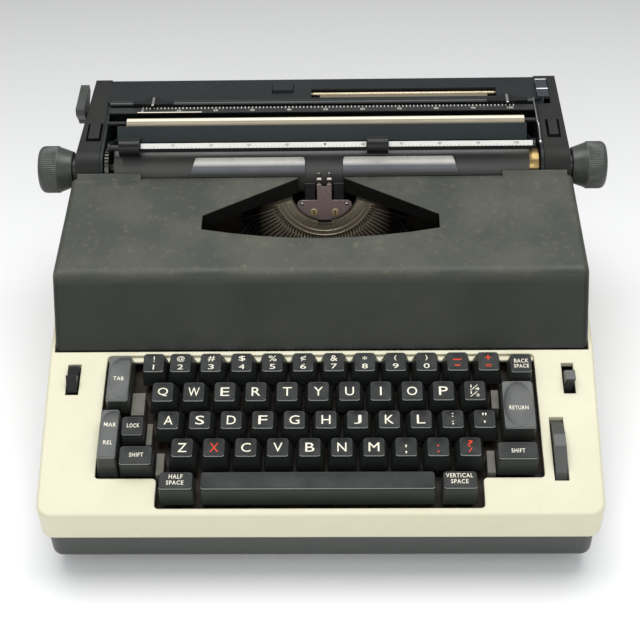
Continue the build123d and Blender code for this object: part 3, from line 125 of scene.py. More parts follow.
# how far a softened edge leans away from its face, which is where paint and plastic rub, and where some
# finishes get a painted highlight
edge_wear_and_highlight, given, result = new_group("edge_wear_and_highlight_mask", "ShaderNodeTree",
                                  {"Rounded": "Vector", "Reach": "Float", "Break Scale": "Float"},
                                  {"Mask": "Float"})
lean = edge_wear_and_highlight.nodes.new("ShaderNodeVectorMath")
lean.operation = "DOT_PRODUCT"
feed(edge_wear_and_highlight, lean.inputs[0], add_node(edge_wear_and_highlight, "ShaderNodeNewGeometry").outputs["Normal"])
feed(edge_wear_and_highlight, lean.inputs[1], given["Rounded"])
leaning = ramp_of(edge_wear_and_highlight, lean.outputs["Value"], start=0.995, end=0.85)
broken = ramp_of(edge_wear_and_highlight, noise_of(edge_wear_and_highlight, given["Break Scale"], detail=4.0), start=0.42, end=0.6)
edge_share = maths(edge_wear_and_highlight, "MULTIPLY", leaning, broken)
feed(edge_wear_and_highlight, result["Mask"], maths(edge_wear_and_highlight, "MULTIPLY", edge_share, given["Reach"]))


def finish(name, colour, patch, grime, roughness, metallic=0.0, patch_scale=28.0, patch_amount=0.5,
           speck_scale=420.0, speck_amount=0.25, grain_scale=2600.0, grain_height=0.00002, edge_colour=None,
           edge_radius=0.0006, edge_reach=0.5, swing=0.12, shine=0.5):
    """The shader of one finish: aged colour, uneven gloss, grain and softened edges, worn on some finishes
    and given a painted highlight on others.
    """
    material = bpy.data.materials.new(name)
    material.use_nodes = True
    tree = material.node_tree
    surface = add_node(tree, "ShaderNodeGroup", aged, Base=paint(*colour), Patch=paint(*patch),
                       Grime=paint(*grime), Patch_Scale=patch_scale, Patch_Amount=patch_amount,
                       Speck_Scale=speck_scale, Speck_Amount=speck_amount, Grain_Scale=grain_scale).outputs
    soft = add_node(tree, "ShaderNodeBevel", Radius=edge_radius)
    soft.samples = 4
    tone = surface["Color"]
    if edge_colour:
        edge = add_node(tree, "ShaderNodeGroup", edge_wear_and_highlight, Rounded=soft.outputs[0], Reach=edge_reach,
                        Break_Scale=240.0)
        tone = mix_colours(tree, edge.outputs["Mask"], tone, paint(*edge_colour))
    gloss = add_node(tree, "ShaderNodeMapRange", Value=surface["Unevenness"], From_Min=0.3, From_Max=0.7,
                     To_Min=max(0.03, roughness - swing), To_Max=min(1.0, roughness + swing))
    bump = add_node(tree, "ShaderNodeBump", Height=surface["Grain"], Distance=grain_height,
                    Normal=soft.outputs[0])
    shader = tree.nodes["Principled BSDF"].inputs
    for label, value in (("Base Color", tone), ("Roughness", gloss.outputs[0]), ("Normal", bump.outputs[0]),
                         ("Metallic", metallic), ("Specular IOR Level", shine)):
        feed(tree, shader[label], value)
    return material


def dress(node, material):
    """Gives a CAD node its finish."""
    slots = nodes[node].data.materials
    slots.clear()
    slots.append(material)


tray_plastic = finish("tray_plastic", (62, 65, 62), (74, 76, 71), (40, 40, 37), 0.42, grain_height=0.00003,
                      edge_colour=(96, 98, 92), edge_reach=0.35)
dress("base_tray", tray_plastic)

# Feet
# Four turned rubber feet, pushed into the tray.

foot_rubber = finish("foot_rubber", (28, 28, 27), (40, 39, 36), (60, 56, 50), 0.75, speck_amount=0.4)
dress("rubber_feet", foot_rubber)

# Keyboard deck
# A thick cream moulding round the keyboard, satin and a little yellowed.
# Its rear lip reaches in under the number row.

# its softened edges are given a painted highlight, whiter than the cream
cream = finish("cream_plastic", (220, 216, 188), (212, 207, 176), (178, 166, 130), 0.4, patch_scale=14.0,
               patch_amount=0.35, speck_scale=210.0, speck_amount=0.1, grain_height=0.000012,
               edge_colour=(244, 242, 226), edge_reach=0.6, edge_radius=0.001)
dress("keyboard_deck", cream)
deck_slope = math.radians(14.9)
opening_back = Vector((0, -0.0519, 0.0796))
opening_side = 0.1334
lip_long = 0.0036
lip_thick = 0.0020
lip_edge = 0.0003


def skin(work, rings):
    """Closes a run of rings of points into one solid skin."""
    for lower, upper in zip(rings, rings[1:]):
        count = len(lower)
        for i in range(count):
            work.faces.new((lower[i], lower[(i + 1) % count], upper[(i + 1) % count], upper[i]))
    work.faces.new(list(reversed(rings[0])))
    work.faces.new(rings[-1])
    return work


def slab(x, y, z, bevel=0.0):
    """A small block from its range along each axis, with its upper edges drawn in."""
    work = bmesh.new()
    levels = [(z[0], 0.0), (z[1] - bevel, 0.0)] + ([(z[1], bevel)] if bevel else [])
    rings = []
    for height, inset in levels:
        left, right = x[0] + inset, x[1] - inset
        front, back = y[0] + inset, y[1] - inset
        corners = ((left, front), (right, front), (right, back), (left, back))
        rings.append([work.verts.new((*corner, height)) for corner in corners])
    return skin(work, rings)


def moved(work, place):
    """Moves a worked mesh to its place."""
    bmesh.ops.transform(work, matrix=place, verts=work.verts)
    return work


def to_object(name, work, material, smooth=False):
    """Turns a worked mesh into an object in place."""
    bmesh.ops.recalc_face_normals(work, faces=work.faces)
    mesh = bpy.data.meshes.new(name)
    work.to_mesh(mesh)
    work.free()
    if material:
        mesh.materials.append(material)
    if smooth:
        mesh.shade_smooth()
        mesh.set_sharp_from_angle(angle=math.radians(38))
    piece = bpy.data.objects.new(name, mesh)
    bpy.context.scene.collection.objects.link(piece)
    return piece


lip = slab(x=(-opening_side, opening_side), y=(-lip_long, 0.0), z=(-lip_thick, 0.0), bevel=lip_edge)
lip_place = Matrix.Translation(opening_back) @ Matrix.Rotation(deck_slope, 4, "X")
lip_piece = to_object("opening_rear_lip", moved(lip, lip_place), cream)
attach(lip_piece, "machine")

# Chassis inside the shell
# Zinc-plated steel plates, bars and rails that carry the drive, the keys and the carriage.
# Oil and dust have turned the plates under the keys brown, their near-black base is painted shade between the
# keys, and five pale fillers stand up from them.

dusty_steel = finish("dusty_steel", (88, 82, 72), (112, 98, 78), (52, 42, 32), 0.5, metallic=0.65,
                     patch_scale=60.0, patch_amount=0.7, speck_scale=700.0, speck_amount=0.6, swing=0.16)
# the near-black base colour is painted shade between the keys, and the brown patches are oil and dust
guide_plate_dust_and_shade = finish("guide_plate_dust_and_shade", (30, 26, 21), (66, 52, 36), (14, 12, 10), 0.5, metallic=0.1,
                           patch_scale=160.0, patch_amount=0.9, speck_scale=600.0, speck_amount=0.6,
                           swing=0.16, shine=0.2)
pitch = 0.01905
row_drop = 0.00507
key_slope = row_drop / pitch
guide_height = 0.0852


def tint_where(material, make_mask, tint):
    """Lays another colour over a finish wherever its mask says."""
    tree = material.node_tree
    base = tree.nodes["Principled BSDF"].inputs["Base Color"]
    source = base.links[0].from_socket
    place = add_node(tree, "ShaderNodeTexCoord").outputs["Object"]
    axes = add_node(tree, "ShaderNodeSeparateXYZ", Vector=place).outputs
    feed(tree, base, mix_colours(tree, make_mask(tree, axes), source, paint(*tint)))


def slanted(tree, axes, y_share, z_share, shift):
    """A coordinate that runs across a tilted face, from shares of Y and Z."""
    first = maths(tree, "MULTIPLY_ADD", axes["Y"], y_share, shift)
    return maths(tree, "MULTIPLY_ADD", axes["Z"], z_share, first)


def above_guide_plate(tree, axes):
    """The fillers, which rise over the plates."""
    return ramp_of(tree, slanted(tree, axes, -key_slope, 1.0, -guide_height), start=0.002, end=0.003)


tint_where(guide_plate_dust_and_shade, above_guide_plate, (98, 96, 88))
for plate in ("side_frames", "bars_and_rails"):
    dress(plate, dusty_steel)
dress("key_guide_plates", guide_plate_dust_and_shade)

# Drive and inlet
# A mains motor turns the long rubber-faced roller by a belt.
# The socket for its lead sits in the rear wall.

motor_paint = finish("motor_enamel", (40, 41, 44), (56, 57, 58), (24, 24, 24), 0.4,
                     edge_colour=(120, 118, 110))
inlet_plastic = finish("inlet_plastic", (24, 24, 24), (32, 32, 31), (12, 12, 12), 0.45)
belt_rubber = finish("belt_rubber", (26, 26, 25), (36, 35, 33), (50, 46, 42), 0.7)
turned_steel = finish("turned_steel", (158, 156, 150), (140, 134, 122), (84, 76, 64), 0.3, metallic=1.0,
                      patch_scale=90.0, speck_amount=0.3)
for piece, look in (("motor", motor_paint), ("power_inlet", inlet_plastic),
                    ("control_housings", inlet_plastic), ("drive_belt", belt_rubber),
                    ("power_roller", belt_rubber), ("motor_pulley", turned_steel)):
    dress(piece, look)

# Keys
# Each key is a dished cap moulded in near-black plastic on a flat steel lever.
# The levers reach back to one shaft, and the white and red signs are printed on the tops.

row_y = -0.0645
row_z = 0.087
first_x = -0.1056
stagger = (0.0, 0.5, 0.75, 1.25)
row_signs = (("!1", "@2", "#3", "$4", "%5", "¢6", "&7", "*8", "(9", ")0", "_-", "+="),
             ("Q", "W", "E", "R", "T", "Y", "U", "I", "O", "P", "¼½"),
             ("A", "S", "D", "F", "G", "H", "J", "K", "L", ":;", "\"'"),
             ("Z", "X", "C", "V", "B", "N", "M", ",,", "..", "?/"))
row_bodies = ("number_row_keys", "upper_row_keys", "home_row_keys", "lower_row_keys")
red_signs = ("_-", "+=", "X", "..", "?/")
cap_tall = 0.013
cap_tops = ((0.0125, 0.0124), (0.0125, 0.0126), (0.0125, 0.0113), (0.0125, 0.0116))
cap_leans = (0.0004, -0.0005, -0.0003, 0.0009)
cap_base = (0.0174, 0.0176)
corner_shift = 0.0024
corner_base = (0.0148, 0.0176)
foot_radius = 0.0012
# each ring of the shoulder: how far it stands out, its corner radius and its height
shoulder = ((0.0005, 0.0020, -0.00065), (0.00035, 0.0020, -0.0003), (0.0001, 0.0019, -0.00008),
            (-0.0003, 0.0018, 0.0))
facet = 0.0016
scoop_rings = 22
dish_rings = 9
scoop_curve = 0.7
lever_thick = 0.0015
lever_low = 0.034
lever_high = 0.042
lever_past_shaft = 0.006
stem_half = 0.003
stem_in_cap = 0.0055
shaft_y = 0.062

lever_steel = finish("lever_steel", (56, 50, 40), (84, 70, 52), (30, 26, 21), 0.5, metallic=0.3,
                     patch_scale=60.0, patch_amount=0.7, speck_scale=700.0, speck_amount=0.5, swing=0.16)
moulded_grain = dict(patch_scale=55.0, patch_amount=0.4, speck_scale=900.0, speck_amount=0.1,
                     grain_scale=4200.0, grain_height=0.000006, edge_radius=0.0003)
row_plastic = finish("row_plastic", (44, 47, 45), (52, 55, 52), (70, 68, 60), 0.4, shine=0.2, **moulded_grain)
key_plastic = finish("key_plastic", (56, 59, 56), (64, 67, 63), (76, 74, 66), 0.4, shine=0.22,
                     **moulded_grain)
scooped_plastic = finish("scooped_plastic", (56, 59, 56), (64, 67, 63), (76, 74, 66), 0.34, **moulded_grain)
sign_white = finish("sign_white", (246, 241, 222), (236, 229, 206), (200, 190, 160), 0.5, patch_scale=300.0,
                    edge_radius=0.00005, shine=0.2)
sign_red = finish("sign_red", (226, 66, 30), (206, 58, 30), (160, 50, 34), 0.5, patch_scale=300.0,
                  edge_radius=0.00005, shine=0.2)


def over_key_plane(tree, axes):
    """How far a point lies over the one plane of all the key tops."""
    return slanted(tree, axes, -key_slope, 1.0, row_y * key_slope - row_z)


def on_key_top(tree, axes):
    """The caps' tops, without their skirts."""
    return ramp_of(tree, over_key_plane(tree, axes), start=-0.0022, end=-0.0014)


def polished_front(tree, axes):
    """The narrow front edge of a cap's top, where a painted highlight line is laid."""
    normal = add_node(tree, "ShaderNodeNewGeometry").outputs["Normal"]
    facing = add_node(tree, "ShaderNodeSeparateXYZ", Vector=normal).outputs
    forward = ramp_of(tree, facing["Y"], start=-0.45, end=-0.7)
    edge_only = ramp_of(tree, facing["Z"], start=0.86, end=0.72)
    near_top = ramp_of(tree, over_key_plane(tree, axes), start=-0.0009, end=-0.0006)
    return maths(tree, "MULTIPLY", forward, maths(tree, "MULTIPLY", edge_only, near_top))


# painted shading: the tops get a tone of their own, darker than the skirts on most caps, and each top's front
# edge gets a painted highlight line
for look, painted_top_tone, front_highlight_colour in ((row_plastic, (30, 33, 32), (176, 178, 172)),
                                    (key_plastic, (35, 38, 36), (150, 152, 148)),
                                    (scooped_plastic, (60, 63, 60), (150, 152, 148))):
    tint_where(look, on_key_top, painted_top_tone)
    tint_where(look, polished_front, front_highlight_colour)


def key_height(y):
    """Height of the key tops at a depth."""
    return row_z + (y - row_y) * row_drop / pitch


def key_place(x, y):
    """Where a cap stands, turned to the slope of the deck."""
    return Matrix.Translation((x, y, key_height(y))) @ Matrix.Rotation(deck_slope, 4, "X")


def rounded_ring(width, depth, radius, z, across=2, down=2, per_corner=7):
    """Points of a rounded rectangle, all the way round, with extra points on its straight sides."""
    points = []
    headings = (Vector((-1, 0, 0)), Vector((0, -1, 0)), Vector((1, 0, 0)), Vector((0, 1, 0)))
    for corner, heading in enumerate(headings):
        cx = (width / 2 - radius) * (1 if corner in (0, 3) else -1)
        cy = (depth / 2 - radius) * (1 if corner in (0, 1) else -1)
        for step in range(per_corner):
            angle = math.radians(90 * corner + 90 * step / (per_corner - 1))
            points.append(Vector((cx + radius * math.cos(angle), cy + radius * math.sin(angle), z)))
        extra, side = (across, width) if corner in (0, 2) else (down, depth)
        start = points[-1].copy()
        for step in range(1, extra):
            points.append(start + heading * (side - 2 * radius) * step / extra)
    return points


def dish_depth(x, y, top, dish, scoop):
    """How far the cap's top is hollowed at a point, by a shallow dish or a thumb scoop."""
    if scoop:
        middle_x, middle_y, half_width, reach_back, reach_front = scoop
        reach = reach_back if y > middle_y else reach_front
        out = ((x - middle_x) / half_width) ** 2 + ((y - middle_y) / reach) ** 2
        return dish * max(0.0, 1 - out) ** scoop_curve
    across = min(1.0, abs(2 * x / top[0]))
    along = min(1.0, abs(2 * y / top[1]))
    return dish * (1 - across ** 2) * (1 - along ** 2)


def add_cap(work, x, y, top, base, dish, scoop=None, skirt_shift=0.0):
    """One key cap: a flared skirt, a tight shoulder and a hollowed top."""
    place = key_place(x, y)
    counts = (max(3, round(top[0] / facet)), max(3, round(top[1] / facet)))
    levels = [(*base, foot_radius, z, skirt_shift) for z in (-cap_tall, foot_radius - cap_tall)]
    levels += [(top[0] + out, top[1] + out, radius, z, 0.0) for out, radius, z in shoulder]
    rings = []
    for width, depth, radius, z, dy in levels:
        rim = rounded_ring(width, depth, radius, z, *counts)
        rings.append([work.verts.new(place @ (point + Vector((0, dy, 0)))) for point in rim])
    inner_rings = scoop_rings if scoop else dish_rings
    for step in range(1, inner_rings):
        share = 1 - step / inner_rings
        inner = [Vector((point.x * share, point.y * share, 0)) for point in rim]
        for point in inner:
            point.z = -dish_depth(point.x, point.y, top, dish, scoop)
        rings.append([work.verts.new(place @ point) for point in inner])
    skin(work, rings)


def add_lever(work, x, y):
    """The flat steel lever under a key, from its stem back to the shaft."""
    stem_top = key_height(y) - cap_tall + stem_in_cap
    heel = shaft_y + lever_past_shaft
    outline = ((y - stem_half, lever_low), (heel, lever_low), (heel, lever_high), (y + stem_half, lever_high),
               (y + stem_half, stem_top), (y - stem_half, stem_top))
    faces = (x - lever_thick / 2, x + lever_thick / 2)
    skin(work, [[work.verts.new((face, *point)) for point in outline] for face in faces])


def written(text, size, bold=0.0, wide=1.0, spacing=1.0, fit=None):
    """The flat mesh of a line of lettering, centred, and stretched to fit a width and height."""
    curve = bpy.data.curves.new("line_of_text", "FONT")
    curve.body = text
    curve.size = size
    curve.space_character = spacing
    curve.offset = bold
    curve.resolution_u = 3
    holder = bpy.data.objects.new("line_of_text", curve)
    mesh = bpy.data.meshes.new_from_object(holder)
    bpy.data.objects.remove(holder)
    low = Vector([min(v.co[i] for v in mesh.vertices) for i in range(3)])
    high = Vector([max(v.co[i] for v in mesh.vertices) for i in range(3)])
    stretch = (fit[0] / (high.x - low.x), fit[1] / (high.y - low.y)) if fit else (wide, 1.0)
    mesh.transform(Matrix.Diagonal((stretch[0], stretch[1], 1, 1)) @ Matrix.Translation(-(low + high) / 2))
    return mesh


ink_lift = 0.0001
ink_step = 0.0012


def print_sign(work, text, x, y, spot, fit, size, top, dish, scoop=None, bold=0.0, spacing=1.0):
    """Prints a sign on a cap, following the hollow of its top."""
    mesh = written(text, size, bold, 1.0, spacing, fit)
    place = key_place(x, y)
    layer = bmesh.new()
    layer.from_mesh(mesh)
    bmesh.ops.subdivide_edges(layer, edges=[e for e in layer.edges if e.calc_length() > ink_step], cuts=2)
    for vert in layer.verts:
        px, py = vert.co.x + spot[0], vert.co.y + spot[1]
        vert.co = place @ Vector((px, py, ink_lift - dish_depth(px, py, top, dish, scoop)))
    layer.to_mesh(mesh)
    layer.free()
    work.from_mesh(mesh)


def finish_key(body, caps, levers, whites, reds, look):
    """Hands the caps, levers and signs of one key body to the frame."""
    cap_piece = to_object(body + "_caps", caps, look, smooth=True)
    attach(cap_piece, body)
    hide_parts(body)
    lever_piece = to_object(body + "_levers", levers, lever_steel)
    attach(lever_piece, body)
    for label, work, ink in (("_signs", whites, sign_white), ("_red_signs", reds, sign_red)):
        if len(work.verts):
            piece = to_object(body + label, work, ink)
            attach(piece, body)
        else:
            work.free()


letter_size = 0.0080
letter_high = 0.0059
usual_letter_wide = 0.0054
letter_wide = {"W": 0.0069, "M": 0.0064, "Q": 0.0063, "O": 0.0062, "G": 0.0061, "C": 0.0057, "J": 0.0045,
               "L": 0.0050, "I": 0.0010}
mark_size = 0.0050
usual_mark_wide = 0.0036
usual_mark_high = 0.0037
usual_mark_spots = (0.0028, -0.0030)
mark_high = {"_": 0.0008, "-": 0.0009, "=": 0.0019, ":": 0.0024, ";": 0.0027, "\"": 0.0016, "'": 0.0016,
             ",": 0.0020, ".": 0.0011, "*": 0.0026, "?": 0.0041, "/": 0.0031, "¼": 0.0038, "½": 0.0038}
mark_wide = {"!": 0.0007, "1": 0.0008, "@": 0.0048, "#": 0.0044, "$": 0.0041, "%": 0.0050, "¢": 0.0034,
             "&": 0.0044, "*": 0.0029, "(": 0.0015, ")": 0.0015, "_": 0.0054, "-": 0.0034, "¼": 0.0058,
             "½": 0.0058, ":": 0.0011, ";": 0.0012, "\"": 0.0026, "'": 0.0009, ",": 0.0011, ".": 0.0012,
             "?": 0.0032, "/": 0.0026}
mark_spots = {"_-": (0.0015, -0.0027), "¼½": (0.0021, -0.0023), ":;": (0.0028, -0.0025),
              "\"'": (0.0032, -0.0019), ",,": (0.0005, -0.0037), "..": (0.0009, -0.0032),
              "?/": (0.0021, -0.0022)}
row_dish = 0.0008
for row, signs in enumerate(row_signs):
    caps, levers, whites, reds = bmesh.new(), bmesh.new(), bmesh.new(), bmesh.new()
    y = row_y - row * pitch
    top = cap_tops[row]
    lean = cap_leans[row]
    for i, sign in enumerate(signs):
        x = first_x + (stagger[row] + i) * pitch
        base = cap_base
        if row == 0 and i == 0:
            x += corner_shift
            base = corner_base
        add_cap(caps, x, y + lean, top, base, row_dish, skirt_shift=-lean)
        add_lever(levers, x, y)
        ink = reds if sign in red_signs else whites
        if len(sign) == 1:
            fit = (letter_wide.get(sign, usual_letter_wide), letter_high)
            print_sign(ink, sign, x, y + lean, (0, 0), fit, letter_size, top, row_dish)
        else:
            for mark, dy in zip(sign, mark_spots.get(sign, usual_mark_spots)):
                fit = (mark_wide.get(mark, usual_mark_wide), mark_high.get(mark, usual_mark_high))
                print_sign(ink, mark, x, y + lean, (0, dy), fit, mark_size, top, row_dish)
    finish_key(row_bodies[row], caps, levers, whites, reds, row_plastic)

# Function keys
# Longer caps of the same plastic for the tabulator, shift, return and spacing.
# The tabulator, margin release and return keys have a deep thumb hollow.

flare = 0.0008
skirt_heel = 0.003
word_size = 0.0037
word_high = 0.0027
word_bold = 0.00004
word_spacing = 1.15


def function_key(body, x, y, wide, deep, stems, dish, words=(), skirt_shift=0.0, scoop=None):
    """One long key with its levers, and its words with their place on the cap and their width."""
    caps, levers, whites, reds = bmesh.new(), bmesh.new(), bmesh.new(), bmesh.new()
    top = (wide, deep)
    add_cap(caps, x, y, top, (wide + 2 * flare, deep + 2 * flare + skirt_heel), dish, scoop, skirt_shift)
    for stem in stems:
        add_lever(levers, stem, y)
    for word, dx, dy, word_wide in words:
        print_sign(whites, word, x, y, (dx, dy), (word_wide, word_high), word_size, top, dish, scoop,
                   word_bold, word_spacing)
    finish_key(body, caps, levers, whites, reds, scooped_plastic if scoop else key_plastic)


function_key("tab_key", x=-0.1240, y=-0.0748, wide=0.0134, deep=0.0312, stems=(-0.1246,), dish=0.0013,
             words=(("TAB", -0.0004, 0.0005, 0.0063),), scoop=(0.0030, 0.0040, 0.0096, 0.0112, 0.0190))
function_key("margin_release_key", x=-0.1268, y=-0.1116, wide=0.0108, deep=0.0320, stems=(-0.1274,),
             dish=0.0011, words=(("MAR", 0.0003, 0.0064, 0.0073), ("REL", 0.0001, -0.0057, 0.0055)),
             skirt_shift=-0.005, scoop=(0.0024, 0.0052, 0.0077, 0.0104, 0.0205))
function_key("lock_key", x=-0.1128, y=-0.1066, wide=0.0126, deep=0.0120, stems=(-0.1130,), dish=0.0007,
             words=(("LOCK", 0.0005, 0.0004, 0.0076),))
function_key("shift_key_left", x=-0.1093, y=-0.1256, wide=0.0190, deep=0.0116, stems=(-0.1094,), dish=0.0005,
             words=(("SHIFT", 0.0004, 0.0004, 0.0084),))
function_key("backspace_key", x=0.1239, y=-0.0656, wide=0.0126, deep=0.0124, stems=(0.1236,), dish=0.0007,
             words=(("BACK", 0.0003, 0.0018, 0.0088), ("SPACE", 0.0002, -0.0019, 0.0092)))
function_key("return_key", x=0.1204, y=-0.0936, wide=0.0184, deep=0.0320, stems=(0.1202,), dish=0.0013,
             words=(("RETURN", 0.0, -0.0017, 0.0115),), scoop=(0.0, 0.0, 0.0091, 0.0158, 0.0158))

# the keys of the bottom row stand on a skirt that reaches forward
bottom_y = row_y - 4 * pitch - 0.001
low_heel = -0.0024
low_deep = 0.0104
function_key("shift_key_right", x=0.1176, y=-0.1234, wide=0.0232, deep=0.0106, stems=(0.1168,), dish=0.0004,
             words=(("SHIFT", 0.0002, -0.0001, 0.0081),), skirt_shift=low_heel)
function_key("half_space_key", x=-0.0842, y=bottom_y, wide=0.0194, deep=low_deep, stems=(-0.0840,),
             dish=0.0003, words=(("HALF", -0.0001, 0.0026, 0.0081), ("SPACE", -0.0004, -0.0013, 0.0102)),
             skirt_shift=low_heel)
function_key("space_bar", x=-0.0009, y=bottom_y, wide=0.1372, deep=low_deep, stems=(-0.0413, 0.03965),
             dish=0.0003, skirt_shift=low_heel)
function_key("vertical_space_key", x=0.0826, y=bottom_y, wide=0.0194, deep=low_deep, stems=(0.0825,),
             dish=0.0003, words=(("VERTICAL", -0.0004, 0.0028, 0.0158), ("SPACE", -0.0004, -0.0010, 0.0102)),
             skirt_shift=low_heel)

# Deck controls
# A black rocker for the mains switch, a grey ribbon lever and the ribbed impression dial.
# They are moulded in one colour each and turn on pins under the deck.

control_plastic = finish("control_plastic", (70, 72, 70), (86, 87, 82), (48, 48, 44), 0.4,
                         edge_colour=(130, 130, 122), edge_reach=0.5)
rocker_black = finish("rocker_black", (20, 20, 20), (30, 30, 29), (60, 58, 52), 0.22,
                      edge_colour=(70, 70, 68))
dress("power_rocker", rocker_black)
dress("ribbon_selector", control_plastic)
dress("impression_dial", control_plastic)

# Type basket
# A slotted steel segment holds the type bars, and a flat guide steers them to the printing point.
# Two slotted brass screws and two rivets hold the guide, and worn bright rings run round the segment.

basket_origin = Vector((0.002, 0.065, 0.122))
basket_lean = math.radians(12)
basket_place = Matrix.Translation(basket_origin) @ Matrix.Rotation(math.radians(90) - basket_lean, 4, "X")

type_steel = finish("type_steel", (138, 128, 118), (110, 100, 90), (60, 54, 48), 0.36, metallic=0.9,
                    patch_scale=90.0, patch_amount=0.6, speck_amount=0.4, edge_colour=(200, 194, 180))
bar_dark = finish("bar_dark", (30, 28, 26), (42, 38, 34), (18, 17, 16), 0.5, metallic=0.4, patch_scale=90.0,
                  speck_amount=0.4, edge_colour=(120, 112, 100), edge_radius=0.0002, edge_reach=0.5)
segment_steel = finish("segment_steel", (160, 147, 128), (132, 120, 102), (72, 64, 54), 0.46, metallic=0.3,
                       patch_scale=80.0, patch_amount=0.6, speck_amount=0.5, edge_colour=(176, 166, 146),
                       edge_radius=0.0003)
ring_steel = finish("ring_steel", (190, 180, 160), (160, 148, 126), (96, 86, 70), 0.36, metallic=0.4,
                    patch_scale=90.0, patch_amount=0.6, speck_amount=0.3, edge_radius=0.0001)
guide_steel = finish("guide_steel", (158, 139, 136), (138, 119, 117), (90, 76, 72), 0.42, metallic=0.35,
                     patch_scale=120.0, speck_amount=0.4, edge_colour=(236, 230, 222), edge_radius=0.0004,
                     edge_reach=1.0)
bright_steel = finish("bright_steel", (206, 206, 200), (184, 182, 172), (110, 104, 92), 0.2, metallic=1.0,
                      patch_scale=60.0, patch_amount=0.5, speck_amount=0.2, swing=0.08)
brass = finish("brass", (198, 178, 134), (176, 154, 108), (92, 74, 44), 0.4, metallic=0.4, patch_scale=200.0,
               speck_scale=1500.0, speck_amount=0.5, edge_colour=(220, 204, 160), edge_radius=0.0003)
cheek_black = finish("cheek_black", (30, 31, 30), (42, 42, 40), (60, 56, 50), 0.42, edge_colour=(80, 80, 76),
                     edge_radius=0.0005)


def away_from_middle(tree, axes):
    """From the middle of the type basket to its ends, which are painted dark as shade."""
    aside = maths(tree, "ABSOLUTE", maths(tree, "SUBTRACT", axes["X"], basket_origin.x))
    return ramp_of(tree, aside, start=0.032, end=0.045)


# the outer ends of the segment and the bars are painted near black as shade
tint_where(segment_steel, away_from_middle, (12, 11, 10))
tint_where(bar_dark, away_from_middle, (14, 13, 12))
for piece, look in (("type_segment", segment_steel), ("type_bars", bar_dark),
                    ("striking_type_bar", type_steel), ("type_guide", guide_steel),
                    ("ribbon_vibrator", bright_steel)):
    dress(piece, look)


def close_tree(tree, instances, material, geometry):
    """Realises the instances, gives them their material and puts them out."""
    realised = tree.nodes.new("GeometryNodeRealizeInstances")
    feed(tree, realised.inputs[0], instances)
    coloured = add_node(tree, "GeometryNodeSetMaterial", Geometry=realised.outputs[0], Material=material)
    feed(tree, geometry, coloured.outputs[0])


def random_of(tree, seed):
    """A random number for each copy, from 0 to 1."""
    chance = tree.nodes.new("FunctionNodeRandomValue")
    chance.data_type = "FLOAT"
    feed(tree, chance.inputs["Seed"], seed)
    return chance.outputs[1]


# copies of one small shape, turned step by step round the local Z axis
around, given, result = new_group(
    "repeat_around", "GeometryNodeTree",
    {"Geometry": "Geometry", "Count": "Int", "First Angle": "Float", "Angle Step": "Float", "Wander": "Float",
     "Seed": "Int", "Material": "Material"}, {"Geometry": "Geometry"})
spots = add_node(around, "GeometryNodeMeshLine", Count=given["Count"], Offset=(0, 0, 0))
turn = maths(around, "MULTIPLY_ADD", around.nodes.new("GeometryNodeInputIndex").outputs[0],
             given["Angle Step"], given["First Angle"])
shaken = maths(around, "MULTIPLY_ADD", random_of(around, given["Seed"]), given["Wander"], turn)
heading = add_node(around, "ShaderNodeCombineXYZ", Z=shaken)
copies = add_node(around, "GeometryNodeInstanceOnPoints", Points=spots.outputs[0], Instance=given["Geometry"],
                  Rotation=heading.outputs[0])
close_tree(around, copies.outputs[0], given["Material"], result["Geometry"])

# copies of one small shape, set step by step along a line
along, given, result = new_group(
    "repeat_along", "GeometryNodeTree",
    {"Geometry": "Geometry", "Count": "Int", "Step": "Vector", "Seed": "Int", "Wear": "Float",
     "Material": "Material"}, {"Geometry": "Geometry"})
spots = add_node(along, "GeometryNodeMeshLine", Count=given["Count"], Offset=given["Step"])
shrunk = maths(along, "MULTIPLY", random_of(along, given["Seed"]), given["Wear"])
copies = add_node(along, "GeometryNodeInstanceOnPoints", Points=spots.outputs[0], Instance=given["Geometry"],
                  Scale=maths(along, "SUBTRACT", 1.0, shrunk))
close_tree(along, copies.outputs[0], given["Material"], result["Geometry"])


def repeat(name, shape, tree, place, **values):
    """Bakes a geometry tree on a small shape and leaves a plain mesh in place."""
    holder = to_object(name + "_seed", shape, None)
    modifier = holder.modifiers.new("repeat", "NODES")
    modifier.node_group = tree
    labels = {item.name: item.identifier for item in tree.interface.items_tree if item.in_out == "INPUT"}
    for key, value in values.items():
        modifier[labels[key.replace("_", " ")]] = value
    seen = holder.evaluated_get(bpy.context.evaluated_depsgraph_get())
    mesh = bpy.data.meshes.new_from_object(seen)
    mesh.transform(place)
    mesh.name = name
    bpy.data.objects.remove(holder)
    piece = bpy.data.objects.new(name, mesh)
    bpy.context.scene.collection.objects.link(piece)
    return piece


def turned(profile, steps, ripple=0.0, ripple_from=0.0):
    """A shape turned round the local Z axis from (radius, height) points, with optional ribs."""
    work = bmesh.new()
    rings = []
    for radius, height in profile:
        ring = []
        for step in range(steps):
            angle = 2 * math.pi * step / steps
            r = radius - ripple if ripple and radius >= ripple_from and step % 2 else radius
            ring.append(work.verts.new((r * math.cos(angle), r * math.sin(angle), height)))
        rings.append(ring)
    return skin(work, rings)


def joined(parts):
    """One worked mesh from several."""
    whole = bmesh.new()
    for part in parts:
        mesh = bpy.data.meshes.new("part_of_piece")
        part.to_mesh(mesh)
        part.free()
        whole.from_mesh(mesh)
        bpy.data.meshes.remove(mesh)
    return whole


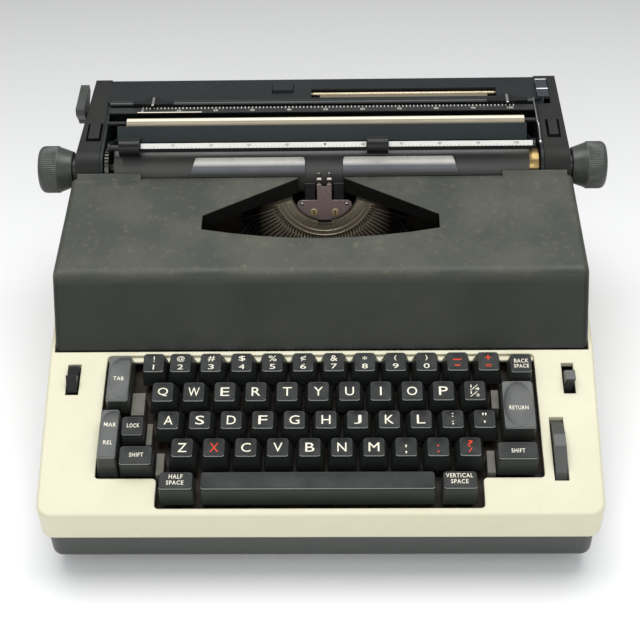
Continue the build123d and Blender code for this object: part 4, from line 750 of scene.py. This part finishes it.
def tube(path, radius, sides=8):
    """A round wire along a path, closed at both ends."""
    work = bmesh.new()
    rings = []
    for i, point in enumerate(path):
        ahead = (path[min(i + 1, len(path) - 1)] - path[max(i - 1, 0)]).normalized()
        side = ahead.orthogonal().normalized()
        if abs(ahead.x) < 0.9:
            side = Vector((1, 0, 0)).cross(ahead).normalized()
        other = ahead.cross(side)
        ring = []
        for step in range(sides):
            angle = 2 * math.pi * step / sides
            ring.append(work.verts.new(point + radius * (math.cos(angle) * side + math.sin(angle) * other)))
        rings.append(ring)
    return skin(work, rings)


slot_tooth = slab(x=(-0.0002, 0.0002), y=(-0.0279, -0.0238), z=(-0.0002, 0.0012), bevel=0.0001)
slot_teeth = repeat("segment_slot_teeth", slot_tooth, around, basket_place, Count=57,
                    First_Angle=-math.radians(70), Angle_Step=math.radians(2.5), Wander=math.radians(0.5),
                    Seed=4, Material=ring_steel)
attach(slot_teeth, "type_basket")

# a painted shadow: a thin dark strip that carries the shaded groove on across the guide's foot
dark_slab = slab(x=(-0.0046, 0.0046), y=(-0.0256, -0.0215), z=(0.0007, 0.0009))
foot_shadow_piece = to_object("guide_foot_painted_shadow", moved(dark_slab, basket_place), bar_dark)
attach(foot_shadow_piece, "type_basket")

# two bright tabs on the prongs that carry the ribbon
prong_x = 0.0034
tab_half = 0.0015
tabs = []
for middle in (-prong_x, prong_x):
    tab = slab(x=(middle - tab_half, middle + tab_half), y=(0.0074, 0.0088), z=(-0.0006, 0.0), bevel=0.0002)
    tabs.append(moved(tab, basket_place))
tab_piece = to_object("vibrator_tabs", joined(tabs), sign_white)
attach(tab_piece, "ribbon_vibrator")

# the worn rings are thin wires half sunk in the segment's face
ring_steps = 60
ring_half_turn = 74
ring_height = 0.00078
ring_wire = []
for ring_radius in (0.0301, 0.0333):
    path = []
    for step in range(ring_steps + 1):
        angle = math.radians(2 * ring_half_turn * step / ring_steps - 90 - ring_half_turn)
        path.append(basket_place @ Vector((ring_radius * math.cos(angle), ring_radius * math.sin(angle),
                                           ring_height)))
    ring_wire.append(tube(path, radius=0.00036))
ring_piece = to_object("segment_bright_rings", joined(ring_wire), ring_steel, smooth=True)
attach(ring_piece, "type_basket")

guide_top = 0.0008
screw_x = 0.0072
screw_y = -0.0159
screw_profile = ((0.0026, 0), (0.0026, 0.0005), (0.0023, 0.0008))
screw_heads = []
screw_slots = []
for side, slot_lean in ((-1, 96), (1, 88)):
    place = basket_place @ Matrix.Translation((side * screw_x, screw_y, guide_top))
    screw_heads.append(moved(turned(screw_profile, steps=24), place))
    dark_slab = slab(x=(-0.0021, 0.0021), y=(-0.00028, 0.00028), z=(0.0007, 0.00084))
    screw_slots.append(moved(dark_slab, place @ Matrix.Rotation(math.radians(slot_lean), 4, "Z")))
screw_piece = to_object("guide_screws", joined(screw_heads), brass, smooth=True)
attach(screw_piece, "type_basket")
groove_piece = to_object("guide_screw_slots", joined(screw_slots), bar_dark)
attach(groove_piece, "type_basket")

rivet_x = 0.0151
rivet_y = -0.0097
rivet_profile = ((0.0011, 0), (0.001, 0.0003), (0.0006, 0.00055), (0.0002, 0.0006))
rivets = []
for side in (-1, 1):
    place = basket_place @ Matrix.Translation((side * rivet_x, rivet_y, guide_top))
    rivets.append(moved(turned(rivet_profile, steps=16), place))
rivet_piece = to_object("guide_rivets", joined(rivets), bright_steel, smooth=True)
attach(rivet_piece, "type_basket")

# two black cheeks stand behind the guide's neck
cheeks = []
for cheek_x in ((-0.0132, -0.0062), (0.0062, 0.0132)):
    cheek = slab(x=cheek_x, y=(-0.0066, 0.0052), z=(-0.0013, -0.0002), bevel=0.0003)
    cheeks.append(moved(cheek, basket_place))
cheek_piece = to_object("guide_cheeks", joined(cheeks), cheek_black)
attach(cheek_piece, "type_basket")

# Card holders
# Two curved spring-steel plates that hold the paper against the platen.
# Their faces are satin, scored by the paper, and small ticks mark the lower edge.

card_steel = finish("card_steel", (240, 237, 228), (216, 214, 206), (140, 134, 122), 0.42, metallic=0.05,
                    patch_scale=45.0, patch_amount=0.7, speck_scale=300.0, speck_amount=0.3, swing=0.14,
                    edge_colour=(248, 246, 240), edge_radius=0.0004, edge_reach=0.9)
# painted reflection and shade: below the bright upper band the holders are painted blue-grey, then dark
# towards the lower edge
tint_where(card_steel, lambda tree, axes: ramp_of(tree, axes["Z"], start=0.1394, end=0.1376), (96, 99, 106))
tint_where(card_steel, lambda tree, axes: ramp_of(tree, axes["Z"], start=0.1368, end=0.1328), (52, 51, 48))
dress("card_holders", card_steel)
platen_axis = Vector((0, 0.085, 0.1267))
holder_face = 0.01763
tick_angle = math.radians(20)
character = 0.00254
ink_black = finish("ink_black", (24, 24, 26), (34, 34, 34), (50, 48, 44), 0.5, edge_radius=0.0001)
for name, first, last in (("holder_ticks_left", -0.0866, -0.0130), ("holder_ticks_right", 0.0190, 0.0915)):
    tick = slab(x=(-0.00022, 0.00022), y=(-0.0010, 0.0010), z=(0, 0.00005))
    start = Vector((first, platen_axis.y - holder_face * math.cos(tick_angle),
                    platen_axis.z + holder_face * math.sin(tick_angle)))
    place = Matrix.Translation(start) @ Matrix.Rotation(math.radians(90) - tick_angle, 4, "X")
    ticks = repeat(name, tick, along, place, Count=int((last - first) / character) + 1,
                   Step=(character, 0, 0), Seed=7, Wear=0.3, Material=ink_black)
    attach(ticks, "machine")

# Ribbon spools
# Two black moulded spools on steel spindles, under the cover.

for spool in ("ribbon_spool_left", "ribbon_spool_right"):
    dress(spool, inlet_plastic)

# Top cover
# A dark grey moulded lid, hinged at its front edge. Dust and rubbing have mottled its top,
# its front face is painted darker as shade, and the walls round the type opening are painted nearly black,
# partly their own black and partly painted shade.

cover_plastic = finish("cover_plastic", (56, 59, 52), (84, 85, 74), (116, 110, 88), 0.5, patch_scale=17.0,
                       patch_amount=0.85, speck_scale=200.0, speck_amount=0.35, grain_scale=2200.0,
                       grain_height=0.00004, edge_colour=(104, 105, 96), edge_reach=0.5, edge_radius=0.0008,
                       shine=0.38)
cover_crest = (-0.0215, 0.1242)
cover_rise = 0.0074 / 0.0885


def in_type_opening(tree, axes):
    """The parts of the cover that lie under its top plane behind the crest."""
    crest_line = cover_crest[1] - cover_crest[0] * cover_rise
    plane = maths(tree, "MULTIPLY_ADD", axes["Y"], cover_rise, crest_line)
    sunk = ramp_of(tree, maths(tree, "SUBTRACT", plane, axes["Z"]), start=0.0003, end=0.0009)
    behind = ramp_of(tree, axes["Y"], start=0.005, end=0.008)
    middle = ramp_of(tree, maths(tree, "ABSOLUTE", axes["X"]), start=0.09, end=0.085)
    return maths(tree, "MULTIPLY", maths(tree, "MULTIPLY", sunk, behind), middle)


# the walls inside the type opening: painted near black, partly their own black and partly painted shade
tint_where(cover_plastic, in_type_opening, (18, 19, 16))
# painted shade: the front face is darker than the top
tint_where(cover_plastic, lambda tree, axes: ramp_of(tree, axes["Y"], start=cover_crest[0], end=-0.026),
           (38, 41, 35))
dress("top_cover", cover_plastic)

# Carriage
# A steel tray between two side plates runs on the rails, closed by a cast cap at each end.
# A folded flange on each side closes the gap between the rear cover and the cap.

carriage_paint = finish("carriage_paint", (29, 31, 28), (40, 42, 38), (22, 22, 19), 0.5, patch_scale=24.0,
                        patch_amount=0.5, speck_scale=320.0, speck_amount=0.25, grain_scale=2200.0,
                        grain_height=0.00003, edge_colour=(78, 80, 74), edge_reach=0.45, shine=0.22)
rear_paint = finish("rear_paint", (28, 32, 33), (36, 40, 40), (22, 24, 23), 0.42, patch_scale=20.0,
                    patch_amount=0.45, speck_amount=0.15, grain_height=0.00002, edge_colour=(80, 83, 80),
                    shine=0.26)
for piece, look in (("carriage_frame", rear_paint), ("end_cap_left", carriage_paint),
                    ("end_cap_right", carriage_paint), ("rear_carriage_cover", rear_paint)):
    dress(piece, look)
for name, flange_x in (("rear_flange_left", (-0.1496, -0.1473)), ("rear_flange_right", (0.1473, 0.1496))):
    flange = to_object(name, slab(x=flange_x, y=(0.1296, 0.1572), z=(0.1014, 0.1512)), rear_paint)
    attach(flange, "carriage")

# Platen and knobs
# A hard rubber roller on a steel shaft, turned by a finely ribbed grey knob at each end.
# The rubber has gone pale with paper dust, and the shaft's right end is the colour of brass.

platen_rubber = finish("platen_rubber", (56, 56, 55), (72, 71, 67), (88, 84, 74), 0.42, patch_scale=24.0,
                       patch_amount=0.7, speck_amount=0.25, swing=0.1)
knob_plastic = finish("knob_plastic", (60, 63, 59), (74, 77, 72), (44, 44, 40), 0.34, patch_scale=60.0,
                      edge_colour=(120, 122, 116), edge_radius=0.0003)
shaft_finish = finish("shaft_finish", (176, 150, 98), (140, 118, 76), (84, 68, 44), 0.34, metallic=0.85,
                      patch_scale=160.0, patch_amount=0.8, speck_scale=900.0, speck_amount=0.4,
                      edge_colour=(226, 214, 176), edge_radius=0.0004, edge_reach=0.8)
tint_where(shaft_finish, lambda tree, axes: ramp_of(tree, axes["X"], start=0.05, end=-0.05), (84, 82, 78))
dress("platen_roller", platen_rubber)
dress("feed_roller", platen_rubber)
dress("platen_shaft", shaft_finish)

knob_profile = ((0.0080, 0.1670), (0.0080, 0.1694), (0.0120, 0.1696), (0.0152, 0.1785), (0.0155, 0.1789),
                (0.0158, 0.1793), (0.0160, 0.1800), (0.0160, 0.1888), (0.0155, 0.1905), (0.0144, 0.1917),
                (0.0120, 0.1923), (0.0060, 0.1925), (0.0012, 0.1925))
for knob_node, side in (("platen_knob_left", -1), ("platen_knob_right", 1)):
    knob_place = Matrix.Translation(platen_axis) @ Matrix.Rotation(math.radians(90 * side), 4, "Y")
    knob_work = turned(knob_profile, steps=144, ripple=0.00045, ripple_from=0.0157)
    knob_piece = to_object(knob_node + "_ribbed", moved(knob_work, knob_place), knob_plastic, smooth=True)
    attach(knob_piece, "platen")
    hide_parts(knob_node)

# Paper table and guide bar
# Blue-grey sheet steel behind the platen, and a satin bar that guides the paper out.
# The bar is rolled to a shallow curve, has a painted highlight along its crown and painted shade on its front
# half, and sits on two short rods.

table_paint = finish("table_paint", (31, 39, 41), (37, 45, 46), (28, 32, 32), 0.4, patch_scale=18.0,
                     patch_amount=0.4, speck_amount=0.1, shine=0.3)
guide_satin = finish("guide_satin", (172, 162, 128), (156, 144, 110), (112, 98, 70), 0.36, metallic=0.2,
                     patch_scale=40.0, patch_amount=0.6, speck_amount=0.2, swing=0.1)
bail_dark = finish("bail_dark", (40, 41, 42), (56, 56, 54), (26, 26, 25), 0.4, metallic=0.4)


def band(start, full, fade, end):
    """Makes the mask of a band across the carriage, between two depths."""
    def make_mask(tree, axes):
        return maths(tree, "MULTIPLY", ramp_of(tree, axes["Y"], start, full),
                     ramp_of(tree, axes["Y"], end, fade))
    return make_mask


# painted shade on the bar's front half, and a painted highlight along its crown
tint_where(guide_satin, lambda tree, axes: ramp_of(tree, axes["Y"], start=0.1077, end=0.1071), (124, 114, 95))
tint_where(guide_satin, band(start=0.1076, full=0.1080, fade=0.1103, end=0.1108), (242, 237, 218))
dress("paper_table", table_paint)

bar_left = -0.1337
bar_right = 0.1385
plate_x = 0.1473
bar_profile = ((0.1036, 0.1475), (0.1045, 0.1489), (0.1062, 0.1497), (0.1080, 0.1501), (0.1096, 0.1502),
               (0.1112, 0.1501), (0.1112, 0.1484), (0.1080, 0.1470), (0.1050, 0.1464))
bar_work = bmesh.new()
skin(bar_work, [[bar_work.verts.new((x, y, z)) for y, z in bar_profile] for x in (bar_left, bar_right)])
bar_piece = to_object("paper_guide_curve", bar_work, guide_satin, smooth=True)
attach(bar_piece, "carriage")
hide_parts("paper_guide_bar")
rod_ends = [slab(x=rod_x, y=(0.1066, 0.1092), z=(0.1474, 0.1494), bevel=0.0003)
            for rod_x in ((-plate_x, bar_left), (bar_right, plate_x))]
rod_piece = to_object("paper_guide_ends", joined(rod_ends), bail_dark)
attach(rod_piece, "carriage")

# Paper bail
# A sprung dark rod with two black rollers and two lengths of white scale strip.
# The strip is black along its lower edge and marked in grey at ten characters to the inch.

roller_black = finish("roller_black", (16, 17, 18), (22, 22, 23), (36, 34, 31), 0.34, shine=0.28)
scale_white = finish("scale_white", (226, 226, 220), (212, 210, 200), (170, 160, 138), 0.4, patch_scale=60.0,
                     speck_scale=600.0, speck_amount=0.2, shine=0.15)
ink_faint = finish("ink_faint", (98, 96, 92), (124, 122, 116), (80, 78, 74), 0.5, edge_radius=0.0001)
dress("paper_bail", bail_dark)
dress("bail_rollers", roller_black)
rod_line = 0.0782
rod_height = 0.1489
scale_out = 0.00302
diagonal = math.sqrt(0.5)
bail_face = Vector((0, rod_line, rod_height)) + Vector((0, -1, 1)).normalized() * scale_out
bail_plane = Matrix.Translation(bail_face) @ Matrix.Rotation(math.radians(45), 4, "X")
scale_middle = 0.0029
middle_mark = 50


def below_white(tree, axes):
    """The black band along the lower edge of the bail's scale."""
    across = slanted(tree, axes, diagonal, diagonal, -diagonal * (rod_line + rod_height))
    return ramp_of(tree, across, start=-0.00125, end=-0.00135)


def mark_x(number):
    """Where a column number stands across the carriage."""
    return scale_middle + (number - middle_mark) * character


def scale_ticks(name, plane, first, last, step, half_long, y, wide, look, body):
    """A run of ticks on a scale."""
    shape = slab(x=(-wide / 2, wide / 2), y=(-half_long, half_long), z=(-0.00002, 0.00004))
    place = plane @ Matrix.Translation((mark_x(first), y, 0))
    piece = repeat(name, shape, along, place, Count=(last - first) // step + 1, Step=(step * character, 0, 0),
                   Seed=3, Wear=0.12, Material=look)
    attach(piece, body)


def scale_numbers(name, plane, numbers, y, size, bold, look, body):
    """A run of numbers on a scale."""
    work = bmesh.new()
    for number in numbers:
        mesh = written(str(number), size, bold, wide=1.1)
        mesh.transform(plane @ Matrix.Translation((mark_x(number), y, 0.00004)))
        work.from_mesh(mesh)
        bpy.data.meshes.remove(mesh)
    piece = to_object(name, work, look)
    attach(piece, body)


tint_where(scale_white, below_white, (9, 9, 10))
strips = [slab(x=strip_x, y=(-0.0037, 0.0022), z=(-0.00102, -0.00002), bevel=0.0001)
          for strip_x in ((-0.1203, 0.0304), (0.0452, 0.1407))]
strip_piece = to_object("bail_scale_strips", moved(joined(strips), bail_plane), scale_white)
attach(strip_piece, "bail")
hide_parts("bail_scale")

for name, first, last in (("bail_ticks_left", 2, 60), ("bail_ticks_right", 67, 104)):
    scale_ticks(name, bail_plane, first, last, step=1, half_long=0.0004, y=-0.0008, wide=0.00022,
                look=ink_faint, body="bail")
for name, first, last in (("bail_half_ticks_left", 5, 55), ("bail_half_ticks_right", 75, 95)):
    scale_ticks(name, bail_plane, first, last, step=10, half_long=0.0007, y=-0.0005, wide=0.0003,
                look=ink_faint, body="bail")
scale_numbers("bail_numbers", bail_plane, (10, 20, 30, 40, 60, 70, 80, 90, 100), y=0.0007, size=0.0024,
              bold=0.0, look=ink_faint, body="bail")

# a small black arrow stands for the middle column
pointer = bmesh.new()
pointer_x = mark_x(middle_mark)
skin(pointer, [[pointer.verts.new(bail_plane @ Vector((pointer_x + dx, dy, height)))
                for dx, dy in ((-0.0010, 0.0013), (0.0, -0.0002), (0.0010, 0.0013))]
               for height in (-0.00002, 0.00005)])
pointer_piece = to_object("bail_middle_mark", pointer, ink_black)
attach(pointer_piece, "bail")

# Margin rail
# A black painted rail with pale ticks and numbers, and a plated rod along its rear.
# Two black sliders run on it, each with a raised wedge and a plated pointer.

scale_black = finish("scale_black", (28, 30, 29), (38, 40, 38), (56, 56, 50), 0.42)
tick_pale = finish("tick_pale", (200, 198, 186), (180, 178, 166), (130, 126, 112), 0.5, edge_radius=0.0001)
tint_where(scale_black, band(start=0.1264, full=0.1269, fade=0.1279, end=0.1283), (138, 140, 136))
dress("margin_scale", scale_black)
margin_plane = Matrix.Translation((0, 0, 0.1506))
scale_ticks("margin_ticks", margin_plane, 0, 101, step=1, half_long=0.0011, y=0.1228, wide=0.0007,
            look=tick_pale, body="carriage")
scale_numbers("margin_numbers", margin_plane, range(0, 101, 10), y=0.1197, size=0.0030, bold=0.00004,
              look=tick_pale, body="carriage")
margin_line = slab(x=(-0.1273, -0.0828), y=(0.1173, 0.1181), z=(0.15055, 0.15075))
margin_strip = to_object("margin_white_strip", margin_line, sign_white)
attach(margin_strip, "carriage")

pointer_half = 0.0009
for stop_node, stop_x in (("margin_stop_left", -0.1171), ("margin_stop_right", 0.1283)):
    dress(stop_node, roller_black)
    blade = slab(x=(stop_x - pointer_half, stop_x + pointer_half), y=(0.1222, 0.1324), z=(0.1530, 0.1536),
                 bevel=0.0003)
    blade_piece = to_object(stop_node + "_pointer", blade, bright_steel)
    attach(blade_piece, stop_node)

# Paper support and release levers
# A plated support lies in a slot of the rear cover beside its button, and painted levers stand at the ends.
# The bail's lever has painted highlights along two ridges, and a bent steel wire with a small ball runs from
# it to the bail.

bar_steel = finish("bar_steel", (178, 166, 142), (150, 136, 108), (110, 94, 66), 0.28, metallic=0.9,
                   patch_scale=50.0, patch_amount=0.6, swing=0.1)
lever_plate = finish("lever_plate", (72, 76, 82), (60, 63, 68), (44, 44, 42), 0.3, metallic=0.5,
                     patch_scale=80.0, patch_amount=0.5, speck_amount=0.3)
ridge_highlight = (224, 226, 224)
# painted highlights along the two ridges of the bail's lever
tint_where(lever_plate, band(start=0.1378, full=0.1382, fade=0.1390, end=0.1394), ridge_highlight)
tint_where(lever_plate, lambda tree, axes: ramp_of(tree, axes["Y"], start=0.1498, end=0.1502), ridge_highlight)
for piece, look in (("paper_support", bar_steel), ("support_button", rear_paint),
                    ("carriage_release_levers", carriage_paint), ("paper_release_lever", knob_plastic),
                    ("bail_release_lever", lever_plate)):
    dress(piece, look)

link_bends = ((0.1466, 0.1290, 0.1519), (0.1466, 0.1150, 0.1516), (0.1466, 0.1010, 0.1512),
              (0.1472, 0.0990, 0.1506), (0.1469, 0.0900, 0.1495), (0.1466, 0.0815, 0.1484))
link_points = [Vector(bend) for bend in link_bends]
ball_profile = ((0.0002, -0.0012), (0.0009, -0.0008), (0.0012, 0), (0.0009, 0.0008), (0.0002, 0.0012))
ball = moved(turned(ball_profile, steps=16), Matrix.Translation(link_points[-1]))
link_piece = to_object("bail_link_wire", joined([tube(link_points, radius=0.0005), ball]), bright_steel,
                       smooth=True)
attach(link_piece, "carriage")

# Studio
# A pale floor that turns grey away from the camera, a broad lamp overhead and a fill in front.

floor_size = 8.0
floor_work = bmesh.new()
bmesh.ops.create_grid(floor_work, x_segments=2, y_segments=2, size=floor_size / 2)
floor = to_object("studio_floor", floor_work, None)
floor_paint = bpy.data.materials.new("studio_floor_paint")
floor_paint.use_nodes = True
floor_tree = floor_paint.node_tree
floor_place = add_node(floor_tree, "ShaderNodeTexCoord").outputs["Object"]
floor_axes = add_node(floor_tree, "ShaderNodeSeparateXYZ", Vector=floor_place).outputs
floor_share = ramp_of(floor_tree, floor_axes["Y"], start=-0.12, end=0.60)
floor_colour = mix_colours(floor_tree, floor_share, paint(255, 255, 255), paint(182, 182, 182))
for label, value in (("Base Color", floor_colour), ("Roughness", 0.9), ("Specular IOR Level", 0.1)):
    feed(floor_tree, floor_tree.nodes["Principled BSDF"].inputs[label], value)
floor.data.materials.append(floor_paint)


def area_lamp(name, place, size, power):
    """A soft rectangular lamp that looks at the machine."""
    lamp = bpy.data.lights.new(name, "AREA")
    lamp.shape = "RECTANGLE"
    lamp.size = size[0]
    lamp.size_y = size[1]
    lamp.energy = power
    holder = bpy.data.objects.new(name, lamp)
    bpy.context.scene.collection.objects.link(holder)
    holder.location = place
    aim = Vector((0, 0, 0.05))
    holder.rotation_euler = (aim - Vector(place)).to_track_quat("-Z", "Y").to_euler()


area_lamp("overhead_lamp", place=(0.0, 0.35, 1.5), size=(1.8, 1.0), power=22.0)
area_lamp("front_lamp", place=(0.0, -1.6, 1.1), size=(1.6, 1.0), power=9.0)

world = bpy.data.worlds.new("studio")
bpy.context.scene.world = world
world.use_nodes = True
sky = world.node_tree.nodes["Background"].inputs
sky["Color"].default_value = (0.95, 0.97, 1.0, 1.0)
sky["Strength"].default_value = 0.45
bpy.context.scene.view_settings.view_transform = "Standard"

camera_place = (0.0184, -0.6260, 0.6413)
camera_pitch = math.radians(42.719)
camera_yaw = math.radians(1.800)
camera_roll = math.radians(-1.571)
photo_width = 640.0
focal_pixels = 1275.0
camera = bpy.data.cameras.new("photo_camera")
camera.sensor_width = 36.0
camera.lens = camera.sensor_width * focal_pixels / photo_width
camera_holder = bpy.data.objects.new("photo_camera", camera)
bpy.context.scene.collection.objects.link(camera_holder)
camera_turn = (Matrix.Rotation(camera_yaw, 4, "Z") @ Matrix.Rotation(math.pi / 2 - camera_pitch, 4, "X")
               @ Matrix.Rotation(camera_roll, 4, "Z"))
camera_holder.matrix_world = Matrix.Translation(camera_place) @ camera_turn
bpy.context.scene.camera = camera_holder
